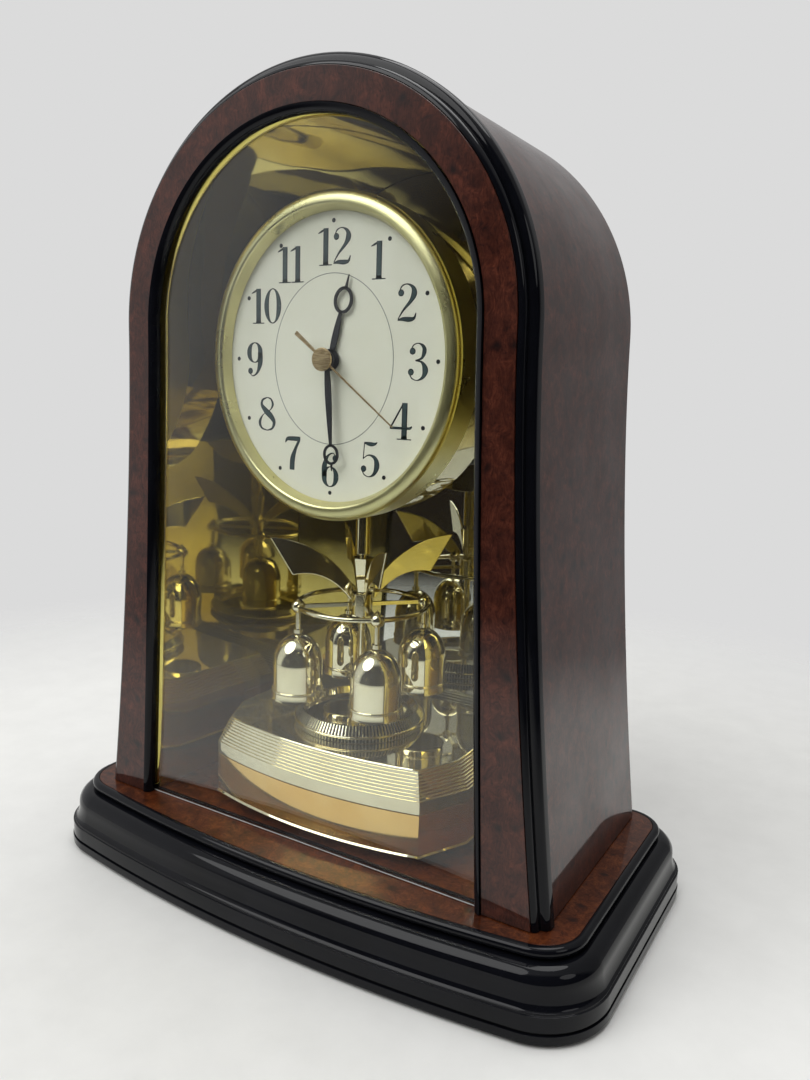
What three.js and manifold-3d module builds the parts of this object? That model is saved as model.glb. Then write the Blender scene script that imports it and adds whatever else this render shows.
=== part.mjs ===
// A mantel clock with a rotating pendulum: an arched veneered case on a moulded plinth, an oval dial in
// a gilt bezel, and four bells that turn below it on a stepped pedestal, in a chamber lined with mirrors.
// Millimetres, +Z up, +X to the right seen from the front. The front faces -Y and the pendulum's axis is Z.

import * as THREE from 'three';
import { mergeVertices } from 'three/addons/utils/BufferGeometryUtils.js';
import Module from 'manifold-3d';

const wasm = await Module();
wasm.setup();

// Fits
const FIT_GAP = 0.3; // between pieces that seat on each other
const RUNNING_GAP = 0.5; // around a turning shaft
const OVERSHOOT = 1; // a cutting tool past the face that it opens

// Plinth, in plan: a bowed front, round corners, straight sides and rear
const BOARD_HALF_WIDTH = 120.2;
const BOARD_HALF_DEPTH = 62.5;
const BOARD_BOW_RADIUS = 706;
const BOARD_FRONT_CORNER = 17;
const BOARD_REAR_CORNER = 13;
const BOARD_THICKNESS = 4.2;
const VENEER_THICKNESS = 0.8; // burl panel let into the top board
const VENEER_INSET = 1; // panel's edge inside the nose centre
const PLINTH_HEIGHT = 24;
const PLINTH_REACH = 11.5; // foot of the moulding beyond the top board's nose centre
const PLINTH_RAIL = 10; // inner face of the moulding inside the nose centre
const OGEE_ROUND = 6.2; // radius of the convex upper part
const BAND_HEIGHT = 6;
const BAND_SETBACK = 0.3;
const FILLET_SIZE = 0.7;
const GROOVE_SIZE = 0.9;
const LOWER_BAND_HEIGHT = 3.3;
const BASE_BOARD_THICKNESS = 3;
const BASE_BOARD_RECESS = 0.8;
const PAD_HEIGHT = 1.2;
const PAD_RADIUS = 8;
const PAD_X = 119;
const PAD_Y = 45;

// Case, front view: a half-round arch on sides that flare out towards the foot
const FRONT_Y = -48.3; // front face of the veneered frame
const CASE_DEPTH = 104.4;
const SIDE_HEIGHT = 206.1; // foot to the springing of the arch
const LINING_RADIUS = 73.2; // rear edge of the mirrored lining round the arch; the other radii follow it
const LINING_THICKNESS = 1.2;
const WINDOW_SETBACK = 3.1; // window's edge outside the lining's rear edge
const FRAME_WIDTH = 11.7; // veneered face from the window to the corner moulding
const MOULDING_WIDTH = 5.3;
const MOULDING_PROUD = 1.3; // moulding beyond the side of the case
const SHELL_WALL = 9;
const CASE_SIDE = { flare: 16.7, bend: 1.6 };
const WINDOW_SIDE = { flare: 9.2, bend: 1.3 };
const LINING_SIDE = { flare: 3, bend: 1.3 };
const FRAME_DEPTH = 8.4;
const FRAME_LIP = 3; // lip in front of the glass
const GLASS_LAP = 2.7; // glass hidden behind the lip
const GLASS_THICKNESS = 2;
const BEAD_WIDTH = 3;
const BEAD_PROUD = 0.9;
const MOULDING_DEPTH = 5.6; // front face back to the full radius
const MOULDING_GROOVE = 0.5;
const MOULDING_ROUND = 0.6; // swell of each bead
const SILL_WIDTH = 2.2;
const SILL_HEIGHT = 1.2;
const MIRROR_THICKNESS = 1.8;
const BACK_REBATE = 5; // seat of the back board in the shell's rear edge
const BACK_BOARD_THICKNESS = 3.6;
const BACK_SCREW_RADIUS = 3;
const BACK_SCREW_FACE = 2.4; // flat on the head
const BACK_SCREW_HEAD = 1.6;
const BACK_SCREW_INSET = 3.8; // screw centre inside the back board's edge

// Dial group, all ovals centred on the hand axis
const DIAL_HEIGHT = 194.9; // hand axis above the top board
const DIAL_SETBACK = 23.1; // dial face behind the frame's front face
const DIAL_OPENING = { halfWidth: 51.2, halfHeight: 55.6 };
const DIAL_LAP = 3.3; // dial hidden behind the bezel
const DIAL_THICKNESS = 1.2;
const BEZEL_WIDTH = 7.4;
const BEZEL_PROUD = 5.2; // crest of the bezel in front of the dial
const BEZEL_INNER_RUN = 1.5; // steep slope from the dial up to the crest
const BEZEL_CREST_WIDTH = 2.8;
const BEZEL_CREST_ROLL = 1.2; // height of the crest's half-round
const BEZEL_RIM_DROP = 2; // outer edge of the shoulder behind the crest
const BEZEL_RIM_CHAMFER = 0.6;
const BEZEL_SKIRT = 12; // bezel wall behind the dial face
const BEZEL_WALL = 0.7;
const DRUM_WALL = 2;
const DRUM_SETBACK = 58; // drum's rear behind the frame's front face

// Hands and their arbors
const HAND_THICKNESS = 0.6;
const HOUR_LIFT = 0.9; // back of the hour hand in front of the dial
const HAND_SPACING = 1.6; // from one hand's front to the next hand's back
const SECOND_ARBOR = 0.8;
const MINUTE_BORE = 1.3;
const MINUTE_ARBOR = 1.9;
const HOUR_BORE = 2.4;
const HOUR_PIPE = 3.1;
const HOUR_PIPE_DEPTH = 3; // pipe inside the movement
const CAP_RADIUS = 4.5;
const CAP_THICKNESS = 1;
const SHOWN_MINUTES = 29.3; // the time that the hands show: minutes past twelve
const SHOWN_SECONDS = 21.2;
const HOUR_HAND = {
  boss: 4.2, leafWidth: 2.7, leafPeak: 8, neckWidth: 1.2, ringCentre: 23.2,
  ringHalfWidth: 4.3, ringHalfLength: 5.1, ringBand: 1.2, tip: 33,
};
const MINUTE_HAND = {
  boss: 3.4, leafWidth: 2.8, leafPeak: 9, neckWidth: 0.9, ringCentre: 36.6,
  ringHalfWidth: 3.6, ringHalfLength: 4, ringBand: 1, tip: 43,
};
const SECOND_TIP = 40.2;
const SECOND_TAIL = 16.8;
const SECOND_WIDTH = 0.9;
const SECOND_TAIL_WIDTH = 1.6;

// Movement, its battery bay and the setting knob, behind the dial
const MOVEMENT_WIDTH = 76;
const MOVEMENT_HEIGHT = 84;
const MOVEMENT_CORNER = 4;
const CELL_RADIUS = 7.1;
const CELL_LENGTH = 49;
const CELL_NUB_RADIUS = 2.7;
const CELL_NUB_LENGTH = 1.3;
const BAY_LENGTH = 55.6;
const BAY_WALL = 2; // between the bay and the knob's well
const COVER_THICKNESS = 2.4;
const COVER_GRIP_WIDTH = 20;
const COVER_GRIP_HEIGHT = 5;
const COVER_GRIP_DEPTH = 1.2;
const KNOB_RADIUS = 8;
const KNOB_LENGTH = 9;
const KNOB_RECESS = 7; // depth of the well that holds the knob
const KNOB_FLUTES = 12;
const KNOB_FLUTE_DEPTH = 0.7;

// Pendulum, heights above the top board
const PENDULUM_TURN = THREE.MathUtils.degToRad(46.5); // first bell, from +X towards +Y
const SPINDLE_RADIUS = 1.5;
const SPINDLE_FOOT = 27;
const SPINDLE_ENTRY = 11.6; // spindle inside the column's bore
const HUB_TOP = 112.6;
const HUB_TAPER_LENGTH = 15.6;
const HUB_TOP_RADIUS = 5;
const HUB_WAIST_RADIUS = 2.7;
const HUB_BOSS_RADIUS = 4.4;
const HUB_BOSS_HEIGHT = 9.5;
const COLUMN_RADIUS = 3.5;
const COLUMN_GAP = 1.8; // turning hub to the column's foot
const RING_RADIUS = 27.9;
const RING_HEIGHT = 92;
const RING_WIRE = 1.1;
const SPOKE_SIZE = 1.6;
const LEAF_THICKNESS = 0.8;
const LEAF_TIP = { reach: 40.2, height: 122.2 };
const LEAF_CORNER = { reach: 30.5, height: 105.5 };
const LEAF_ROOT_TOP = 101;
const LEAF_TOP_PULL = { reach: 17.5, height: 120.3 };
const LEAF_FOOT_PULL = { reach: 15.5, height: 108.5 };
const BALL_RADIUS = 2.7;
const BALL_TIP = 1.5; // point above the ball
const BALL_TIP_RADIUS = 1.2; // foot of the point
const STEM_RADIUS = 1.1;
const STEM_COLLAR_RADIUS = 2;
const STEM_COLLAR_HEIGHT = 1.6;
const BELL_CROWN = 80; // top of the bell's dome
const BELL_LIP = 52;
const BELL_DOME_HEIGHT = 13;
const BELL_RADIUS = 10.7;
const BELL_WALL = 0.9;
const BELL_LIP_FLARE = 0.6;
const BELL_BEAD_HEIGHT = 3.6; // bead line above the lip
const BELL_BEAD_SIZE = 0.6;

// Pedestal, in plan: a bowed front between two chamfers
const DECK_HALF_WIDTH = 57;
const DECK_BOW_RADIUS = 197;
const DECK_FRONT_Y = -36.8;
const DECK_REAR_Y = 43;
const DECK_CORNER = { x: 48.3, y: -30.8 };
const DECK_CHAMFER_END_Y = -13.1;
const RISER_HEIGHT = 4;
const RISER_INSET = 3;
const FASCIA_HEIGHT = 18.2;
const FASCIA_WALL = 2.2;
const FASCIA_LIP = 0.7;
const CAP_BAND_HEIGHT = 5.4;
const CAP_STEPS = 9;
const CAP_STEP_RISE = 1.18;
const CAP_STEP_RUN = 0.55;
const DECK_THICKNESS = 2.6;
const DECK_SCREW = { radius: 1.3, length: 2, x: 49.5, y: -21.5 };
const COLLAR_RIM_RADIUS = 29;
const COLLAR_FOOT_RADIUS = 26.6;
const COLLAR_HEIGHT = 6.6;
const COLLAR_DISH_RADIUS = 23;
const COLLAR_DISH_DEPTH = 3;
const KNURL_TEETH = 34;
const KNURL_DEPTH = 0.5;
const KNURL_ROW = 2;
const MOTOR_RADIUS = 12;
const MOTOR_HEIGHT = 24;

// Places that follow from the sizes
const MOULDING_TOP_Z = PAD_HEIGHT + FIT_GAP + PLINTH_HEIGHT;
const BOARD_FOOT_Z = MOULDING_TOP_Z + FIT_GAP;
const BOARD_TOP_Z = BOARD_FOOT_Z + BOARD_THICKNESS;
const CASE_FOOT_Z = BOARD_TOP_Z + FIT_GAP;
const SPRING_Z = CASE_FOOT_Z + SIDE_HEIGHT;
const WINDOW_RADIUS = LINING_RADIUS + WINDOW_SETBACK;
const FRAME_RADIUS = WINDOW_RADIUS + FRAME_WIDTH;
const MOULDING_RADIUS = FRAME_RADIUS + FIT_GAP + MOULDING_WIDTH;
const CASE_RADIUS = MOULDING_RADIUS - MOULDING_PROUD;
const SHELL_INNER_RADIUS = CASE_RADIUS - SHELL_WALL;
const BACK_BOARD_RADIUS = SHELL_INNER_RADIUS + BACK_REBATE;
const GLASS_RADIUS = WINDOW_RADIUS + GLASS_LAP;
const REAR_Y = FRONT_Y + CASE_DEPTH;
const GLASS_Y = FRONT_Y + FRAME_LIP + FIT_GAP;
const LINING_FRONT_Y = GLASS_Y + GLASS_THICKNESS + FIT_GAP;
const BACK_BOARD_Y = REAR_Y - FIT_GAP - BACK_BOARD_THICKNESS;
const LINING_REAR_Y = BACK_BOARD_Y - FIT_GAP;
const MIRROR_Y = LINING_REAR_Y - MIRROR_THICKNESS;
const BACK_FACE_Y = BACK_BOARD_Y + BACK_BOARD_THICKNESS;
const DIAL_Z = BOARD_TOP_Z + DIAL_HEIGHT;
const DIAL_Y = FRONT_Y + DIAL_SETBACK;
const HOUR_Y = DIAL_Y - HOUR_LIFT;
const MINUTE_Y = HOUR_Y - HAND_THICKNESS - HAND_SPACING;
const SECOND_Y = MINUTE_Y - HAND_THICKNESS - HAND_SPACING;
const DRUM_FRONT_Y = DIAL_Y + DIAL_THICKNESS + FIT_GAP;
const DRUM_REAR_Y = FRONT_Y + DRUM_SETBACK;
const MOVEMENT_Y = DRUM_FRONT_Y + DRUM_WALL + FIT_GAP;
const COLUMN_FOOT = HUB_TOP + COLUMN_GAP;
const SPINDLE_TOP = COLUMN_FOOT + SPINDLE_ENTRY;
const RISER_FOOT_Z = BOARD_TOP_Z + FIT_GAP;
const RISER_TOP_Z = RISER_FOOT_Z + RISER_HEIGHT;
const FASCIA_FOOT_Z = RISER_TOP_Z + FIT_GAP;
const FASCIA_TOP_Z = FASCIA_FOOT_Z + FASCIA_HEIGHT;
const CAP_FOOT_Z = FASCIA_TOP_Z + FIT_GAP;
const DECK_Z = CAP_FOOT_Z + CAP_BAND_HEIGHT + CAP_STEPS * CAP_STEP_RISE;
const COLLAR_FOOT_Z = DECK_Z + FIT_GAP;
const FASCIA_GROW = CAP_STEPS * CAP_STEP_RUN; // fascia beyond the deck's edge

// Finishes
const FINISHES = {
  burl: { color: 0x5a2f25, roughness: 0.22, metalness: 0 },
  boardBurl: { color: 0x6e3216, roughness: 0.2, metalness: 0 },
  black: { color: 0x15161a, roughness: 0.18, metalness: 0 },
  felt: { color: 0x2b2a29, roughness: 0.95, metalness: 0 },
  hardboard: { color: 0x3a2a20, roughness: 0.8, metalness: 0 },
  glass: { color: 0xe8eeee, roughness: 0.02, metalness: 0 },
  mirror: { color: 0xa8925a, roughness: 0.04, metalness: 1 },
  gold: { color: 0xc9bd84, roughness: 0.12, metalness: 1 },
  satinGold: { color: 0xc4bb74, roughness: 0.32, metalness: 1 },
  dial: { color: 0xdedecf, roughness: 0.6, metalness: 0 },
  hand: { color: 0x14171f, roughness: 0.4, metalness: 0.2 },
  bronze: { color: 0x8a6c4c, roughness: 0.35, metalness: 1 },
  steel: { color: 0x9a9a9c, roughness: 0.3, metalness: 1 },
  plastic: { color: 0x1d1d1f, roughness: 0.55, metalness: 0 },
  cell: { color: 0x3f4347, roughness: 0.4, metalness: 0.3 },
};

// Joins equal corners, so that a skin is closed, and drops triangles without area
function weld(geometry) {
  const bare = new THREE.BufferGeometry();
  bare.setAttribute('position', geometry.attributes.position.clone());
  if (geometry.index) {
    bare.setIndex(geometry.index.clone());
  }
  const merged = mergeVertices(bare, 1e-4);
  const corners = merged.index.array;
  const kept = [];
  for (let i = 0; i < corners.length; i += 3) {
    const [a, b, c] = corners.slice(i, i + 3);
    if (a !== b && b !== c && c !== a) {
      kept.push(a, b, c);
    }
  }
  merged.setIndex(kept);
  return merged;
}

function toSolid(geometry) {
  const skin = weld(geometry);
  return new wasm.Manifold(new wasm.Mesh({
    numProp: 3,
    vertProperties: new Float32Array(skin.attributes.position.array),
    triVerts: new Uint32Array(skin.index.array),
  }));
}

function toGeometry(solid) {
  const skin = solid.getMesh();
  const geometry = new THREE.BufferGeometry();
  geometry.setAttribute('position', new THREE.BufferAttribute(new Float32Array(skin.vertProperties), 3));
  geometry.setIndex(Array.from(skin.triVerts));
  return geometry;
}

function cut(base, ...tools) {
  return toGeometry(tools.reduce((rest, tool) => rest.subtract(toSolid(tool)), toSolid(base)));
}

function join(...pieces) {
  return toGeometry(pieces.map(toSolid).reduce((whole, piece) => whole.add(piece)));
}

function signedArea(loop) {
  return THREE.ShapeUtils.area(loop.map(([x, y]) => new THREE.Vector2(x, y)));
}

// Flat cap on a level loop, wound the same way as the loop
function capTriangles(loop) {
  const contour = loop.map(([x, y]) => new THREE.Vector2(x, y));
  const winding = Math.sign(signedArea(loop));
  return THREE.ShapeUtils.triangulateShape(contour, []).map(([a, b, c]) => {
    const same = Math.sign(signedArea([loop[a], loop[b], loop[c]])) === winding;
    return same ? [a, b, c] : [a, c, b];
  });
}

function volume(points, index) {
  let sum = 0;
  for (let i = 0; i < index.length; i += 3) {
    const [a, b, c] = [points[index[i]], points[index[i + 1]], points[index[i + 2]]];
    sum += a[0] * (b[1] * c[2] - b[2] * c[1]);
    sum += a[1] * (b[2] * c[0] - b[0] * c[2]);
    sum += a[2] * (b[0] * c[1] - b[1] * c[0]);
  }
  return sum / 6;
}

// Skins a row of equal loops; a ring closes on its first loop, a bar gets a level cap at each end
function loft(loops, ring) {
  const size = loops[0].length;
  const points = loops.flat();
  const index = [];
  const bands = ring ? loops.length : loops.length - 1;
  for (let i = 0; i < bands; i++) {
    const here = i * size;
    const next = ((i + 1) % loops.length) * size;
    for (let j = 0; j < size; j++) {
      const k = (j + 1) % size;
      index.push(here + j, here + k, next + k);
      index.push(here + j, next + k, next + j);
    }
  }
  if (!ring) {
    const last = points.length - size;
    capTriangles(loops[0]).forEach(([a, b, c]) => index.push(a, c, b));
    capTriangles(loops.at(-1)).forEach(([a, b, c]) => index.push(last + a, last + b, last + c));
  }
  if (volume(points, index) < 0) {
    index.reverse();
  }
  const geometry = new THREE.BufferGeometry();
  geometry.setAttribute('position', new THREE.Float32BufferAttribute(points.flat(), 3));
  geometry.setIndex(index);
  return geometry;
}

function steps(count, place) {
  return Array.from({ length: count + 1 }, (unused, i) => place(i / count));
}

function arc(x, y, radius, from, to, count) {
  return steps(count, (t) => {
    const angle = from + (to - from) * t;
    return [x + radius * Math.cos(angle), y + radius * Math.sin(angle)];
  });
}

// A line between two points that swells to its right-hand side by a given height
function swell([x0, y0], [x1, y1], height, count) {
  const length = Math.hypot(x1 - x0, y1 - y0);
  return steps(count, (t) => {
    const rise = (height * Math.sin(Math.PI * t)) / length;
    return [x0 + (x1 - x0) * t + (y1 - y0) * rise, y0 + (y1 - y0) * t - (x1 - x0) * rise];
  });
}

// A shape drawn in front view (x, z) and extruded from front to back along +Y
function prism(shape, front, back, curveSegments = 12) {
  const options = { depth: back - front, bevelEnabled: false, curveSegments };
  return new THREE.ExtrudeGeometry(shape, options).rotateX(Math.PI / 2).translate(0, back, 0);
}

// A profile of [radius, y] turned about an axis along Y, in either direction
function turnedAlongY(profile, segments) {
  const points = profile.map(([radius, y]) => new THREE.Vector2(radius, y));
  const outward = THREE.ShapeUtils.area(points) > 0;
  return new THREE.LatheGeometry(outward ? points : points.reverse(), segments);
}

// A profile of [radius, z] turned about the Z axis
function turned(profile, segments) {
  return turnedAlongY(profile, segments).rotateX(Math.PI / 2);
}

// Profile of a plain round bar
function rod(radius, from, to) {
  return [[0, from], [radius, from], [radius, to], [0, to]];
}

function box(width, depth, height, x, y, z) {
  return new THREE.BoxGeometry(width, depth, height).translate(x, y, z);
}

const clock = new THREE.Group();
clock.name = 'rotating_pendulum_clock';

function body(name) {
  const group = new THREE.Group();
  group.name = name;
  clock.add(group);
  return group;
}

function node(name, geometry, finish, parent = clock) {
  const skin = weld(geometry);
  skin.computeVertexNormals();
  const mesh = new THREE.Mesh(skin, new THREE.MeshStandardMaterial(FINISHES[finish]));
  mesh.name = name;
  parent.add(mesh);
  return mesh;
}

// Plinth outline in plan, grown outwards from the centre line of the top board's nose
function plinthOutline(grow) {
  const bowY = BOARD_BOW_RADIUS - BOARD_HALF_DEPTH;
  const cornerX = BOARD_HALF_WIDTH - BOARD_FRONT_CORNER;
  const cornerDrop = Math.sqrt((BOARD_BOW_RADIUS - BOARD_FRONT_CORNER) ** 2 - cornerX ** 2);
  const cornerY = bowY - cornerDrop;
  const cornerTurn = Math.atan2(-cornerDrop, cornerX);
  const rearX = BOARD_HALF_WIDTH - BOARD_REAR_CORNER;
  const rearY = BOARD_HALF_DEPTH - BOARD_REAR_CORNER;
  const half = [
    ...arc(0, bowY, BOARD_BOW_RADIUS + grow, -Math.PI / 2, cornerTurn, 4).slice(1, -1),
    ...arc(cornerX, cornerY, BOARD_FRONT_CORNER + grow, cornerTurn, 0, 5),
    ...arc(rearX, rearY, BOARD_REAR_CORNER + grow, 0, Math.PI / 2, 4),
  ];
  const mirrored = half.map(([x, y]) => [-x, y]).reverse();
  return [[0, -BOARD_HALF_DEPTH - grow], ...half, ...mirrored];
}

function level(outline, z) {
  return outline.map(([x, y]) => [x, y, z]);
}

function plinth() {
  const foot = PAD_HEIGHT + FIT_GAP;
  const bandReach = PLINTH_REACH - BAND_SETBACK;
  const coveReach = bandReach - FILLET_SIZE;
  const grooveZ = foot + LOWER_BAND_HEIGHT;
  const bandZ = grooveZ + GROOVE_SIZE;
  const filletZ = bandZ + BAND_HEIGHT;
  const coveZ = filletZ + FILLET_SIZE;
  const roundZ = MOULDING_TOP_Z - OGEE_ROUND;
  const roundReach = BOARD_THICKNESS / 2 + OGEE_ROUND;
  const cove = steps(4, (t) => {
    const turn = (t * Math.PI) / 2;
    const reach = coveReach - (coveReach - roundReach) * Math.sin(turn);
    return [reach, coveZ + (roundZ - coveZ) * (1 - Math.cos(turn))];
  });
  const profile = [
    [-PLINTH_RAIL, foot],
    [PLINTH_REACH, foot],
    [PLINTH_REACH, grooveZ],
    [bandReach - GROOVE_SIZE, grooveZ],
    [bandReach - GROOVE_SIZE, bandZ],
    [bandReach, bandZ],
    [bandReach, filletZ],
    [coveReach, filletZ],
    ...cove,
    ...arc(roundReach - OGEE_ROUND, roundZ, OGEE_ROUND, 0, Math.PI / 2, 4).slice(1),
    [-PLINTH_RAIL, MOULDING_TOP_Z],
  ];
  node('plinth_moulding', loft(profile.map(([grow, z]) => level(plinthOutline(grow), z)), true), 'black');

  const nose = BOARD_THICKNESS / 2;
  const noseArc = arc(0, BOARD_FOOT_Z + nose, nose, -Math.PI / 2, Math.PI / 2, 4);
  const pocketReach = FIT_GAP - VENEER_INSET;
  const panelFoot = BOARD_TOP_Z - VENEER_THICKNESS;
  const board = [...noseArc, [pocketReach, BOARD_TOP_Z], [pocketReach, panelFoot - FIT_GAP]];
  node('plinth_top', loft(board.map(([grow, z]) => level(plinthOutline(grow), z)), false), 'black');

  const panel = plinthOutline(-VENEER_INSET);
  node('top_veneer', loft([level(panel, panelFoot), level(panel, BOARD_TOP_Z)], false), 'boardBurl');

  const inside = plinthOutline(-PLINTH_RAIL - FIT_GAP);
  const boardFoot = foot + BASE_BOARD_RECESS;
  const baseBoard = [level(inside, boardFoot), level(inside, boardFoot + BASE_BOARD_THICKNESS)];
  node('base_board', loft(baseBoard, false), 'hardboard');

  const corners = [[-1, -1], [1, -1], [1, 1], [-1, 1]];
  corners.forEach(([sideX, sideY], i) => {
    const pad = node(`foot_pad_${i + 1}`, turned(rod(PAD_RADIUS, 0, PAD_HEIGHT), 12), 'felt');
    pad.position.set(sideX * PAD_X, sideY * PAD_Y, 0);
  });
}

// Stations along the arch, from the left foot over the top to the right foot
const SIDE_STATIONS = 6;
const ARCH_STATIONS = 24;

function archLine(radius, side) {
  const rise = steps(SIDE_STATIONS, (t) => {
    const z = CASE_FOOT_Z + t * SIDE_HEIGHT;
    return [radius + side.flare * (1 - t) ** side.bend, z];
  });
  const top = arc(0, SPRING_Z, radius, Math.PI, 0, ARCH_STATIONS).slice(1, -1);
  const left = rise.map(([x, z]) => [-x, z]);
  return [...left, ...top, ...rise.reverse()];
}

// A bar that follows the arch; its section is a loop of [radius, y, side]
function archBar(section) {
  const lines = section.map(([radius, y, side]) => archLine(radius, side).map(([x, z]) => [x, y, z]));
  const stations = lines[0].map((unused, i) => lines.map((line) => line[i]));
  return loft(stations, false);
}

function archShape(radius, side) {
  return new THREE.Shape(archLine(radius, side).map(([x, z]) => new THREE.Vector2(x, z)));
}

function rectangle(width, height, x, z) {
  const shape = new THREE.Path();
  shape.moveTo(x - width / 2, z - height / 2);
  shape.lineTo(x + width / 2, z - height / 2);
  shape.lineTo(x + width / 2, z + height / 2);
  shape.lineTo(x - width / 2, z + height / 2);
  shape.closePath();
  return shape;
}

function caseBody() {
  const rebate = GLASS_RADIUS + FIT_GAP;
  const frameRear = FRONT_Y + FRAME_DEPTH;
  const shellFront = frameRear + FIT_GAP;
  const boardRebate = BACK_BOARD_RADIUS + FIT_GAP;
  node('case_shell', archBar([
    [CASE_RADIUS, shellFront, CASE_SIDE],
    [CASE_RADIUS, REAR_Y, CASE_SIDE],
    [boardRebate, REAR_Y, CASE_SIDE],
    [boardRebate, LINING_REAR_Y, CASE_SIDE],
    [SHELL_INNER_RADIUS, LINING_REAR_Y, CASE_SIDE],
    [SHELL_INNER_RADIUS, shellFront, CASE_SIDE],
  ]), 'burl');

  node('front_frame', archBar([
    [FRAME_RADIUS, FRONT_Y, CASE_SIDE],
    [FRAME_RADIUS, frameRear, CASE_SIDE],
    [rebate, frameRear, WINDOW_SIDE],
    [rebate, FRONT_Y + FRAME_LIP, WINDOW_SIDE],
    [WINDOW_RADIUS, FRONT_Y + FRAME_LIP, WINDOW_SIDE],
    [WINDOW_RADIUS, FRONT_Y, WINDOW_SIDE],
  ]), 'burl');

  // Double bead that bevels the front corner of the case
  const inner = FRAME_RADIUS + FIT_GAP;
  const front = [inner, FRONT_Y + FIT_GAP];
  const middle = [(inner + MOULDING_RADIUS) / 2 - MOULDING_GROOVE, FRONT_Y + MOULDING_DEPTH / 2];
  const outer = [MOULDING_RADIUS, FRONT_Y + MOULDING_DEPTH];
  const frontBead = swell(front, middle, MOULDING_ROUND, 3);
  const rearBead = swell(middle, outer, MOULDING_ROUND, 3);
  node('corner_moulding', archBar([
    [inner, frameRear, CASE_SIDE],
    ...[...frontBead, ...rearBead.slice(1)].map(([radius, y]) => [radius, y, CASE_SIDE]),
    [MOULDING_RADIUS, frameRear, CASE_SIDE],
  ]), 'black');

  // Quarter-round bead inside the window
  const beadOuter = WINDOW_RADIUS - FIT_GAP;
  const beadNose = arc(beadOuter, FRONT_Y + BEAD_WIDTH - BEAD_PROUD, BEAD_WIDTH, -Math.PI / 2, -Math.PI, 3);
  node('window_bead', archBar([
    ...beadNose.map(([radius, y]) => [radius, y, WINDOW_SIDE]),
    [beadOuter - BEAD_WIDTH, FRONT_Y + FRAME_LIP, WINDOW_SIDE],
    [beadOuter, FRONT_Y + FRAME_LIP, WINDOW_SIDE],
  ]), 'black');

  const pane = archShape(GLASS_RADIUS, WINDOW_SIDE);
  node('front_glass', prism(pane, GLASS_Y, GLASS_Y + GLASS_THICKNESS), 'glass');

  // Mirrored lining, wider at the window than at the rear
  node('mirror_lining', archBar([
    [WINDOW_RADIUS, LINING_FRONT_Y, WINDOW_SIDE],
    [LINING_RADIUS, LINING_REAR_Y, LINING_SIDE],
    [LINING_RADIUS + LINING_THICKNESS, LINING_REAR_Y, LINING_SIDE],
    [WINDOW_RADIUS + LINING_THICKNESS, LINING_FRONT_Y, WINDOW_SIDE],
  ]), 'mirror');

  const liningFoot = WINDOW_RADIUS + WINDOW_SIDE.flare;
  const liningRearFoot = LINING_RADIUS + LINING_SIDE.flare;
  const splay = (liningFoot - liningRearFoot) / (LINING_REAR_Y - LINING_FRONT_Y);
  const sillLength = 2 * (liningFoot - splay * SILL_WIDTH - FIT_GAP);
  const sillZ = CASE_FOOT_Z + SILL_HEIGHT / 2;
  const sillY = LINING_FRONT_Y + SILL_WIDTH / 2;
  node('glass_sill', box(sillLength, SILL_WIDTH, SILL_HEIGHT, 0, sillY, sillZ), 'black');
}

function backWall() {
  const width = MOVEMENT_WIDTH + 2 * FIT_GAP;
  const height = MOVEMENT_HEIGHT + 2 * FIT_GAP;
  const mirror = archShape(LINING_RADIUS - FIT_GAP, LINING_SIDE);
  mirror.holes.push(rectangle(width, height, 0, DIAL_Z));
  node('back_mirror', prism(mirror, MIRROR_Y, LINING_REAR_Y), 'mirror');

  const board = archShape(BACK_BOARD_RADIUS, CASE_SIDE);
  board.holes.push(rectangle(width, height, 0, DIAL_Z));
  node('back_board', prism(board, BACK_BOARD_Y, BACK_FACE_Y), 'hardboard');
  const line = archLine(BACK_BOARD_RADIUS - BACK_SCREW_INSET, CASE_SIDE);
  const stations = [1, SIDE_STATIONS, SIDE_STATIONS + ARCH_STATIONS, line.length - 2];
  stations.forEach((station, i) => {
    const [x, z] = line[station];
    const head = [
      [0, BACK_FACE_Y + FIT_GAP],
      [BACK_SCREW_RADIUS, BACK_FACE_Y + FIT_GAP],
      [BACK_SCREW_FACE, BACK_FACE_Y + FIT_GAP + BACK_SCREW_HEAD],
      [0, BACK_FACE_Y + FIT_GAP + BACK_SCREW_HEAD],
    ];
    const screw = node(`back_screw_${i + 1}`, turnedAlongY(head, 12), 'steel');
    screw.position.set(x, 0, z);
  });
}

function ovalShape(grow) {
  const shape = new THREE.Shape();
  const halfWidth = DIAL_OPENING.halfWidth + grow;
  const halfHeight = DIAL_OPENING.halfHeight + grow;
  shape.absellipse(0, DIAL_Z, halfWidth, halfHeight, 0, 2 * Math.PI);
  return shape;
}

// A ring that follows the dial's oval; its section is a loop of [growth beyond the opening, y]
const OVAL_STATIONS = 44;

function ovalRing(section) {
  const loops = steps(OVAL_STATIONS, (t) => {
    const turn = 2 * Math.PI * t;
    return section.map(([grow, y]) => [
      (DIAL_OPENING.halfWidth + grow) * Math.cos(turn),
      y,
      DIAL_Z + (DIAL_OPENING.halfHeight + grow) * Math.sin(turn),
    ]);
  });
  return loft(loops.slice(0, -1), true);
}

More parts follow.
